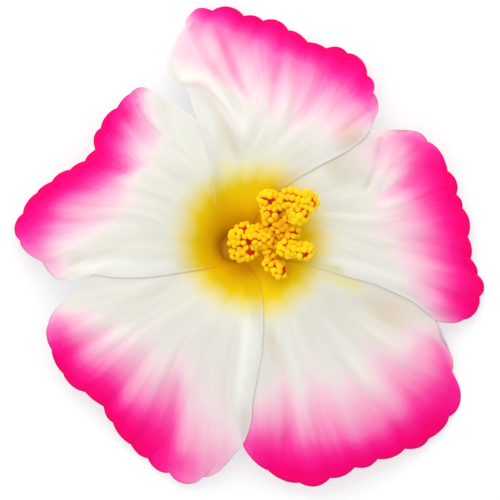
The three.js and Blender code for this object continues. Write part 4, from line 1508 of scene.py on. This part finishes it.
ANTHER_HEADS: dict[str, tuple[Knob, ...]] = {
    "anther_head_left": (
        Knob(0.9, 1.6, 13.2, 3.2), Knob(5.0, 2.2, 13.6, 3.3), Knob(2.4, -0.9, 12.8, 2.9),
        Knob(1.7, 3.9, 13.4, 2.1), Knob(0.2, -1.5, 12.9, 2.2), Knob(7.2, 2.4, 15.0, 2.4),
    ),
    "anther_head_upper_left": (
        Knob(7.5, 10.6, 17.7, 2.8), Knob(7.9, 7.8, 17.6, 2.6), Knob(9.8, 10.8, 17.9, 1.9),
        Knob(9.9, 8.6, 18.0, 2.0),
    ),
    "anther_head_upper_right": (
        Knob(12.6, 10.8, 21.2, 3.0), Knob(16.1, 10.2, 21.0, 3.0), Knob(14.2, 7.7, 21.0, 3.0),
    ),
    "anther_head_right": (
        Knob(11.4, -0.6, 17.8, 2.5), Knob(15.6, -0.9, 18.2, 2.6), Knob(12.9, 3.2, 17.2, 2.2),
        Knob(13.5, -0.7, 18.2, 2.3),
    ),
    "anther_head_lower": (Knob(7.5, -3.9, 14.8, 2.0), Knob(9.9, -5.3, 15.2, 2.3)),
}


@dataclass
class BeadCoat:
    """The coat of pollen sacs on a head: beads scattered close together, with a few gaps."""

    bead_size: float = 1.62
    spacing: float = 1.08
    bare_share: float = 0.035
    smallest: Point3 = (0.78, 0.78, 0.7332)
    largest: Point3 = (1.22, 1.1834, 1.22)
    lift: Point2 = (-0.14, 0.24)
    tone_spread: float = 0.6
    densest: float = 6.0e6
    tree: bpy.types.NodeTree | None = None

    def grow(self, sac: Material) -> None:
        """Builds the Geometry Nodes tree that scatters the beads.

        Args:
            sac: The finish of the beads.
        """
        self.tree = bpy.data.node_groups.new("bead_coat", "GeometryNodeTree")
        face = self.tree.interface
        face.new_socket("Head", in_out="INPUT", socket_type="NodeSocketGeometry")
        face.new_socket("Coated", in_out="OUTPUT", socket_type="NodeSocketGeometry")
        for name, kind, usual in (
            ("Spacing", "Float", self.spacing * MM),
            ("Bead radius", "Float", self.bead_size * MM / 2.0),
            ("Kept share", "Float", 1.0 - self.bare_share),
            ("Foot height", "Float", 0.0),
            # Lifts every bead's tone towards lemon yellow; the column's lower lift is painted
            # shade.
            ("Ripeness", "Float", 0.2),
            ("Seed", "Int", 0),
        ):
            socket = face.new_socket(name, in_out="INPUT", socket_type="NodeSocket" + kind)
            socket.default_value = usual
        nodes = Nodes(self.tree)
        add = nodes.add
        head = add("NodeGroupInput")
        given = head.node.outputs
        height = add("ShaderNodeSeparateXYZ", {"Vector": add("GeometryNodeInputPosition")}, "Z")
        above = self._compare(nodes, "GREATER_THAN", height, given["Foot height"])
        feeds = {"Mesh": head, "Selection": above, "Distance Min": given["Spacing"]}
        feeds |= {"Density Max": self.densest, "Seed": given["Seed"]}
        kind = "GeometryNodeDistributePointsOnFaces"
        points = add(kind, feeds, distribute_method="POISSON")
        rise = self._draw(nodes, self.lift[0] * MM, self.lift[1] * MM, 1)
        feeds = {"Vector": points.node.outputs["Normal"], "Scale": rise}
        out = add("ShaderNodeVectorMath", feeds, operation="SCALE")
        raised = add("GeometryNodeSetPosition", {"Geometry": points, "Offset": out})
        chance = self._draw(nodes, 0.0, 1.0, 2)
        kept = self._compare(nodes, "LESS_THAN", chance, given["Kept share"])
        feeds = {"Subdivisions": 2, "Radius": given["Bead radius"]}
        bead = add("GeometryNodeMeshIcoSphere", feeds)
        bead = add("GeometryNodeSetShadeSmooth", {"Geometry": bead})
        feeds = {"Points": raised, "Selection": kept, "Instance": bead}
        feeds["Rotation"] = self._draw(nodes, (0.0, 0.0, 0.0), (6.3, 6.3, 6.3), 3)
        feeds["Scale"] = self._draw(nodes, self.smallest, self.largest, 4)
        placed = add("GeometryNodeInstanceOnPoints", feeds)
        spread = self._draw(nodes, 0.0, 1.0, 5)
        tone = nodes.math("MULTIPLY_ADD", spread, self.tone_spread, given["Ripeness"])
        feeds = {"Geometry": placed, "Name": "tone", "Value": tone}
        kind = "GeometryNodeStoreNamedAttribute"
        toned = add(kind, feeds, data_type="FLOAT", domain="INSTANCE")
        real = add("GeometryNodeRealizeInstances", {"Geometry": toned})
        dressed = add("GeometryNodeSetMaterial", {"Geometry": real, "Material": sac})
        joined = add("GeometryNodeJoinGeometry", {"Geometry": dressed})
        nodes.feed(head, joined.node.inputs["Geometry"])
        end = self.tree.nodes.new("NodeGroupOutput")
        nodes.feed(joined, end.inputs["Coated"])

    def _compare(self, nodes: Nodes, operation: str, first: Socket, second: Socket) -> Socket:
        """Returns the outcome of a comparison of two numbers."""
        feeds = {"A": first, "B": second}
        return nodes.add("FunctionNodeCompare", feeds, data_type="FLOAT", operation=operation)

    def _draw(self, nodes: Nodes, low: float | Point3, high: float | Point3, seed: int) -> Socket:
        """Gives a random number or vector for each bead.

        Args:
            nodes: The tree to build in.
            low: Smallest value.
            high: Largest value.
            seed: Sets the draw apart from the others.

        Returns:
            The output socket.
        """
        kind, mark = ("FLOAT", "_001") if isinstance(low, float) else ("FLOAT_VECTOR", "")
        feeds = {"Min" + mark: low, "Max" + mark: high, "Seed": seed}
        return nodes.add("FunctionNodeRandomValue", feeds, "Value" + mark, data_type=kind)

    def coated(self, name: str, bare: Piece, **inputs: float) -> Piece:
        """Puts the coat on a piece.

        Args:
            name: Name of the coated piece.
            bare: The bare piece.
            inputs: Values of the tree's inputs, by name with low lines for spaces.

        Returns:
            The coated piece as a plain mesh.
        """
        coat = bare.modifiers.new("coat", "NODES")
        coat.node_group = self.tree
        for item in self.tree.interface.items_tree:
            key = item.name.lower().replace(" ", "_")
            if item.in_out == "INPUT" and key in inputs:
                coat[item.identifier] = inputs[key]
        return evaluated_piece(name, bare)


@dataclass
class Androecium:
    """The column and its heads of anthers."""

    seat: Seat
    coat: BeadCoat = field(default_factory=BeadCoat)
    anther_finish: AntherFinish = AntherFinish()
    column_finish: ColumnFinish = ColumnFinish()
    beaded_above: float = 13.2
    head_ripeness: float = 0.35

    def build(self) -> None:
        """Makes and dresses the column and the heads."""
        self.coat.grow(self.anther_finish.sac())
        name = "staminal_column"
        bare = Column(self.seat).build(self.column_finish.material())
        foot = self.beaded_above * MM
        # The column's beads get no tone lift, so they come out darker orange than the heads':
        # painted shade for the beads that sit low under the heads.
        column = self.coat.coated(name, bare, seed=2, foot_height=foot, ripeness=0.0)
        declare(column, name)
        core = self.anther_finish.core()
        lump = Grown(self.seat, steps=24, voxel=0.3, softenings=4)
        for seed, (name, knobs) in enumerate(ANTHER_HEADS.items(), start=3):
            rods = [knob.rod(self.coat.bead_size / 2.0) for knob in knobs]
            bare = lump.build(name + "_core", rods, core)
            head = self.coat.coated(name, bare, seed=seed, ripeness=self.head_ripeness)
            declare(head, name)


# ---- calyx, bracts and stalk


@dataclass
class CalyxWall:
    """The middle of the calyx wall: a flat floor, then a cup that follows the petals' underside."""

    surface: CommonSurface
    petal_offset: float = 0.85
    petal_thickness: float = 0.9
    gap: float = 0.45
    thickness: float = 0.8
    floor_height: float = 2.9
    floor_radius: float = 3.8
    radii: tuple[float, ...] = (3.6, 4.6, 6.0, 8.0, 10.5, 13.0, 16.0)

    def __post_init__(self) -> None:
        """Works out the profile."""
        depth = self.petal_offset + self.petal_thickness / 2.0 + self.gap + self.thickness / 2.0
        profile = [(0.0, self.floor_height), (self.floor_radius, self.floor_height)]
        for radius in self.radii:
            foot = np.array([radius, 0.0])
            away = self.surface.normal(foot) * depth
            profile.append((radius - away[0], float(self.surface.height(foot)) - away[2]))
        self.profile = Spline(profile)

    def points(self, angle: Array, share: Array, offset: Array) -> Array:
        """Gives points off the wall.

        Args:
            angle: Direction round the axis in radians.
            share: Share of the profile's length, from the axis out.
            offset: Distance from the middle of the wall towards the petals.

        Returns:
            Points in millimetres.
        """
        place = self.profile.along(share)
        run = self.profile.tangent(share, even=True)
        radius = place[..., 0] - run[..., 1] * offset
        return round_axis(radius, angle, place[..., 1] + run[..., 0] * offset)


@dataclass
class Calyx:
    """The green cup under the petals, with five pointed lobes, ribs and thin rims."""

    wall: CalyxWall
    seat: Seat
    finish: GreenFinish = GreenFinish("calyx_skin", "55803a", "93b565", (90.0, 6.0, 1.0))
    cup_share: float = 0.56
    cleft: float = 0.04
    sharpness: float = 1.4
    first_lobe: float = 40.0
    rim_thickness: float = 0.35
    rim_width: Point2 = (0.3, 5.0)
    edge_radius: float = 0.4
    reach: float = 24.0
    rib_height: float = 0.3
    side_rib: float = 0.45
    rib_sharpness: Point2 = (0.03, 0.12)
    rib_start: Point2 = (0.15, 0.4)
    rib_end: Point2 = (0.85, 1.0)
    heart_radius: Point2 = (4.5, 6.5)
    columns: int = 240
    rows: int = 60

    def _ribs(self, turn: Array, out: Array) -> Array:
        """Gives the ribs, one up the middle of each lobe and one between each two.

        Args:
            turn: Direction from the first lobe, times the number of lobes.
            out: Share of the way to the calyx's rim.

        Returns:
            How high the ribs stand, from 0 to 1.
        """
        middle, side = self.rib_sharpness
        midrib = np.exp(-(((turn + math.pi) % TURN - math.pi) ** 2) / middle)
        sides = np.exp(-(((2.0 * turn) % TURN - math.pi) ** 2) / side)
        ends = smooth(out, *self.rib_start) * (1.0 - smooth(out, *self.rib_end))
        return (midrib + self.side_rib * sides) * ends

    def build(self) -> None:
        """Makes and dresses the calyx."""
        turns = np.linspace(0.0, TURN, self.columns, endpoint=False)
        rows = np.concatenate([np.linspace(0.0, 1.0, self.rows), [0.985, 0.993]])
        angle, out = np.meshgrid(turns, np.sort(rows)[1:])
        turn = PETAL_COUNT * (angle - math.radians(self.first_lobe))
        lobe = 1.0 - np.abs(np.sin(turn / 2.0)) ** self.sharpness
        reach = blend(self.cup_share + self.cleft, 1.0, lobe)
        edge = (1.0 - out) * reach * self.reach
        half = 0.5 * blend(self.rim_thickness, self.wall.thickness, smooth(edge, *self.rim_width))
        half = half * edge_round(edge, self.edge_radius)
        rib = self._ribs(turn, out)
        raised = self.rib_height * rib * np.minimum(1.0, edge / 2.0)
        inner = self.wall.points(angle, out * reach, half)
        outer = self.wall.points(angle, out * reach, -half - raised)
        floor = self.wall.floor_height
        poles = [(0.0, 0.0, floor + side * self.wall.thickness / 2.0) for side in (1.0, -1.0)]
        count = angle.size
        numbers = np.arange(count).reshape(angle.shape)
        under = count + np.arange(count - self.columns).reshape(-1, self.columns)
        under = np.concatenate([under, numbers[-1:]])
        points = np.concatenate([inner.reshape(-1, 3), outer[:-1].reshape(-1, 3), poles])
        faces: Faces = []
        for side, pole, turned in (
            (numbers, len(points) - 2, False),
            (under, len(points) - 1, True),
        ):
            faces += ring_faces(side, turned) + fan_faces(pole, side[0], turned)
        around = np.stack([angle / TURN, out], axis=-1)
        uv = np.concatenate([around.reshape(-1, 2), around[:-1].reshape(-1, 2), np.zeros((2, 2))])
        heart = 1.0 - smooth(np.hypot(inner[..., 0], inner[..., 1]), *self.heart_radius)
        skinned = np.zeros(count - self.columns)
        fields = {
            "rib": np.concatenate([rib.ravel(), rib[:-1].ravel(), [0.0, 0.0]]),
            "heart": np.concatenate([heart.ravel(), skinned, [1.0, 0.0]]),
        }
        metres = self.seat.metres(points)
        calyx = mesh_piece("calyx", metres, faces, self.finish.material(), fields, uv)
        declare(calyx, "calyx")


@dataclass
class Bracts:
    """The ring of narrow bracts that lie against the calyx."""

    wall: CalyxWall
    seat: Seat
    finish: GreenFinish = GreenFinish("bract_skin", "4d7a33", "86ab58", (14.0, 2.0, 1.0))
    count: int = 7
    thickness: float = 0.5
    gap: float = 0.45
    half_width: float = 0.95
    tip_width: float = 0.15
    reach: float = 9.0
    edge_radius: float = 0.3
    keel_height: float = 0.2
    keel_width: float = 0.22
    start_share: float = 0.14
    end_share: float = 0.66
    first_angle: float = 10.0
    columns: int = 20
    rows: int = 56

    def build(self) -> None:
        """Makes and dresses the bracts."""
        material = self.finish.material()
        step = 360.0 / self.count
        for number in range(self.count):
            name = f"bract_{number + 1}"
            direction = math.radians(self.first_angle + number * step)
            declare(self._bract(name, direction, material), name)

    def _bract(self, name: str, direction: float, material: Material) -> Piece:
        """Makes one bract.

        Args:
            name: Name of the bract.
            direction: Where it stands round the axis, in radians.
            material: The green finish.

        Returns:
            The bract's object.
        """
        places = np.sin(np.linspace(-1.0, 1.0, self.columns + 1) * math.pi / 2.0)
        runs = 0.5 - 0.5 * np.cos(np.linspace(0.0, math.pi, self.rows))
        across, along = np.meshgrid(places, runs)
        share = blend(self.start_share, self.end_share, along)
        middle = -(self.wall.thickness / 2.0 + self.gap + self.thickness / 2.0)
        rib = np.exp(-((across / self.keel_width) ** 2))
        belly = np.sin(math.pi * blend(0.2, 1.0, along))
        half_width = self.half_width * blend(self.tip_width, 1.0, belly)
        from_end = np.minimum(along, 1.0 - along) * self.reach
        edge = np.minimum((1.0 - np.abs(across)) * half_width, from_end)
        half = 0.5 * self.thickness * edge_round(edge, self.edge_radius)
        keel = self.keel_height * rib * (1.0 - smooth(along, 0.75, 1.0))
        keel = keel * np.minimum(1.0, edge * 2.0)
        length = self.wall.points(np.array(direction), share, np.full_like(share, middle))
        angle = direction + across * half_width / np.hypot(length[..., 0], length[..., 1])
        upper, lower = (
            self.seat.metres(self.wall.points(angle, share, middle + offset))
            for offset in (half, -half - keel)
        )
        uv = np.stack([0.5 + 0.5 * across, along], axis=-1)
        return sheet_piece(name, upper, lower, material, {"rib": rib}, uv)


@dataclass
class Stalk:
    """The stub of the stalk, cut straight through just below the calyx."""

    seat: Seat
    finish: GreenFinish = GreenFinish("stalk_skin", "62863c", "a3b96c", (60.0, 3.0, 1.0))
    radius: float = 1.5
    length: float = 2.2
    sides: int = 72
    ribs: int = 9
    rib_depth: float = 0.018
    pith: Point2 = (0.9, 1.2)
    profile: tuple[Point2, ...] = (
        (0.0, 0.02), (0.35, 0.0), (0.8, 0.05), (1.15, 0.02), (1.38, 0.0), (1.47, 0.08),
        (1.46, 0.3), (1.38, 0.8), (1.36, 1.3), (1.42, 1.75), (1.5, 2.05), (1.44, 2.18),
        (1.2, 2.2), (0.0, 2.2),
    )

    def build(self) -> None:
        """Makes and dresses the stalk, with its pith at the cut and low ribs down its sides."""
        line = Spline(self.profile).along(np.linspace(0.0, 1.0, 40))
        turns = np.linspace(0.0, TURN, self.sides, endpoint=False)
        flutes = 1.0 - self.rib_depth * (1.0 + np.cos(self.ribs * turns))
        radius = np.minimum(line[1:-1, :1] * flutes, self.radius)
        height = np.repeat(np.maximum(line[1:-1, 1:], 0.0), self.sides, axis=1)
        points = round_axis(radius, np.broadcast_to(turns, radius.shape), height).reshape(-1, 3)
        poles = [(0.0, 0.0, line[0, 1]), (0.0, 0.0, line[-1, 1])]
        numbers = np.arange(radius.size).reshape(radius.shape)
        faces = ring_faces(numbers, turned=True)
        faces += fan_faces(radius.size, numbers[0], turned=True)
        faces += fan_faces(radius.size + 1, numbers[-1], turned=False)
        pith = np.concatenate([(1.0 - smooth(radius, *self.pith)).ravel(), [1.0, 1.0]])
        around = np.broadcast_to(turns / TURN, radius.shape)
        uv = np.stack([around, height / self.length], axis=-1).reshape(-1, 2)
        uv = np.concatenate([uv, np.zeros((2, 2))])
        metres = self.seat.metres(np.concatenate([points, poles]))
        stalk = mesh_piece("stalk", metres, faces, self.finish.material(), {"rib": pith}, uv)
        declare(stalk, "stalk")


@dataclass
class Base:
    """All that is green: the calyx, its bracts and the stalk."""

    surface: CommonSurface
    seat: Seat

    def build(self) -> None:
        """Makes and dresses the green pieces."""
        wall = CalyxWall(self.surface)
        Calyx(wall, self.seat).build()
        Stalk(self.seat).build()
        Bracts(wall, self.seat).build()


# ---- table, light and camera


@dataclass(frozen=True)
class Lamp:
    """A large soft lamp that looks at the flower; its place and size are in metres."""

    name: str
    place: Point3
    size: float
    power: float

    def hang(self) -> None:
        """Makes the lamp."""
        lamp = bpy.data.lights.new(self.name, "AREA")
        lamp.energy = self.power
        lamp.size = self.size
        stand = bpy.data.objects.new(self.name, lamp)
        stand.location = self.place
        stand.rotation_mode = "QUATERNION"
        stand.rotation_quaternion = Vector(self.place).to_track_quat("Z", "Y")
        stand.visible_camera = False
        bpy.context.scene.collection.objects.link(stand)


@dataclass
class Studio:
    """A plain pale table, soft light from all round, a large lamp towards +Y and one at the left.

    What the camera sees and how far it stands are in millimetres, the table's size in metres.
    """

    seat: Seat
    view_middle: Point3 = (3.15, -0.78, 3.0)
    view_width: float = 115.0
    camera_distance: float = 1300.0
    sensor_width: float = 36.0
    farthest: float = 10.0
    table_size: float = 2.4
    table_tint: str = "c8bcbc"
    table_skin: Skin = Skin(0.9, 0.0)
    table_glow: float = 0.515
    glow_tint: str = "e8ffff"
    sky_tint: str = "ffffff"
    sky_strength: float = 0.815
    lamps: tuple[Lamp, ...] = (
        Lamp("soft_lamp", (-0.2, 1.32, 1.1), 1.5, 13.0),
        Lamp("fill_lamp", (-1.4, -0.45, 1.05), 1.6, 4.0),
    )

    def build(self) -> None:
        """Sets up the table, the light and the camera, which looks straight down."""
        self._table()
        self._sky()
        for lamp in self.lamps:
            lamp.hang()
        self._camera()
        bpy.context.scene.view_settings.view_transform = "Standard"

    def _table(self) -> None:
        """Makes the table top."""
        shade = Shade("table_top")
        shade.inputs["Base Color"].default_value = linear(self.table_tint)
        shade.inputs["Emission Color"].default_value = linear(self.glow_tint)
        shade.inputs["Emission Strength"].default_value = self.table_glow
        reach = self.table_size / 2.0
        corners = np.array([(-1.0, -1.0, 0.0), (1.0, -1.0, 0.0), (1.0, 1.0, 0.0), (-1.0, 1.0, 0.0)])
        material = shade.finished(self.table_skin, None, None)
        table = mesh_piece("table", corners * reach, [(0, 1, 2, 3)], material)

    def _sky(self) -> None:
        """Makes the even light from all round."""
        world = bpy.data.worlds.new("soft_sky")
        bpy.context.scene.world = world
        world.use_nodes = True
        sky = world.node_tree.nodes["Background"]
        sky.inputs["Color"].default_value = linear(self.sky_tint)
        sky.inputs["Strength"].default_value = self.sky_strength

    def _camera(self) -> None:
        """Makes the camera with a long lens over the flower."""
        eye = bpy.data.cameras.new("eye")
        eye.sensor_width = self.sensor_width
        eye.lens = eye.sensor_width * self.camera_distance / self.view_width
        eye.clip_end = self.farthest
        holder = bpy.data.objects.new("eye", eye)
        above = np.array([0.0, 0.0, self.camera_distance])
        holder.location = self.seat.metres(above + self.view_middle).tolist()
        bpy.context.scene.collection.objects.link(holder)
        bpy.context.scene.camera = holder


def write_sizes() -> None:
    """Brings the scene's evaluated state up to date."""
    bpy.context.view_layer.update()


def main() -> None:
    """Builds the flower and its studio."""
    logging.basicConfig(level=logging.INFO, format="%(name)s: %(message)s")
    seat = Seat.under_stalk()
    surface = CommonSurface()
    Corolla(surface, seat).build()
    Androecium(seat).build()
    Base(surface, seat).build()
    Studio(seat).build()
    write_sizes()


if __name__ == "__main__":
    main()
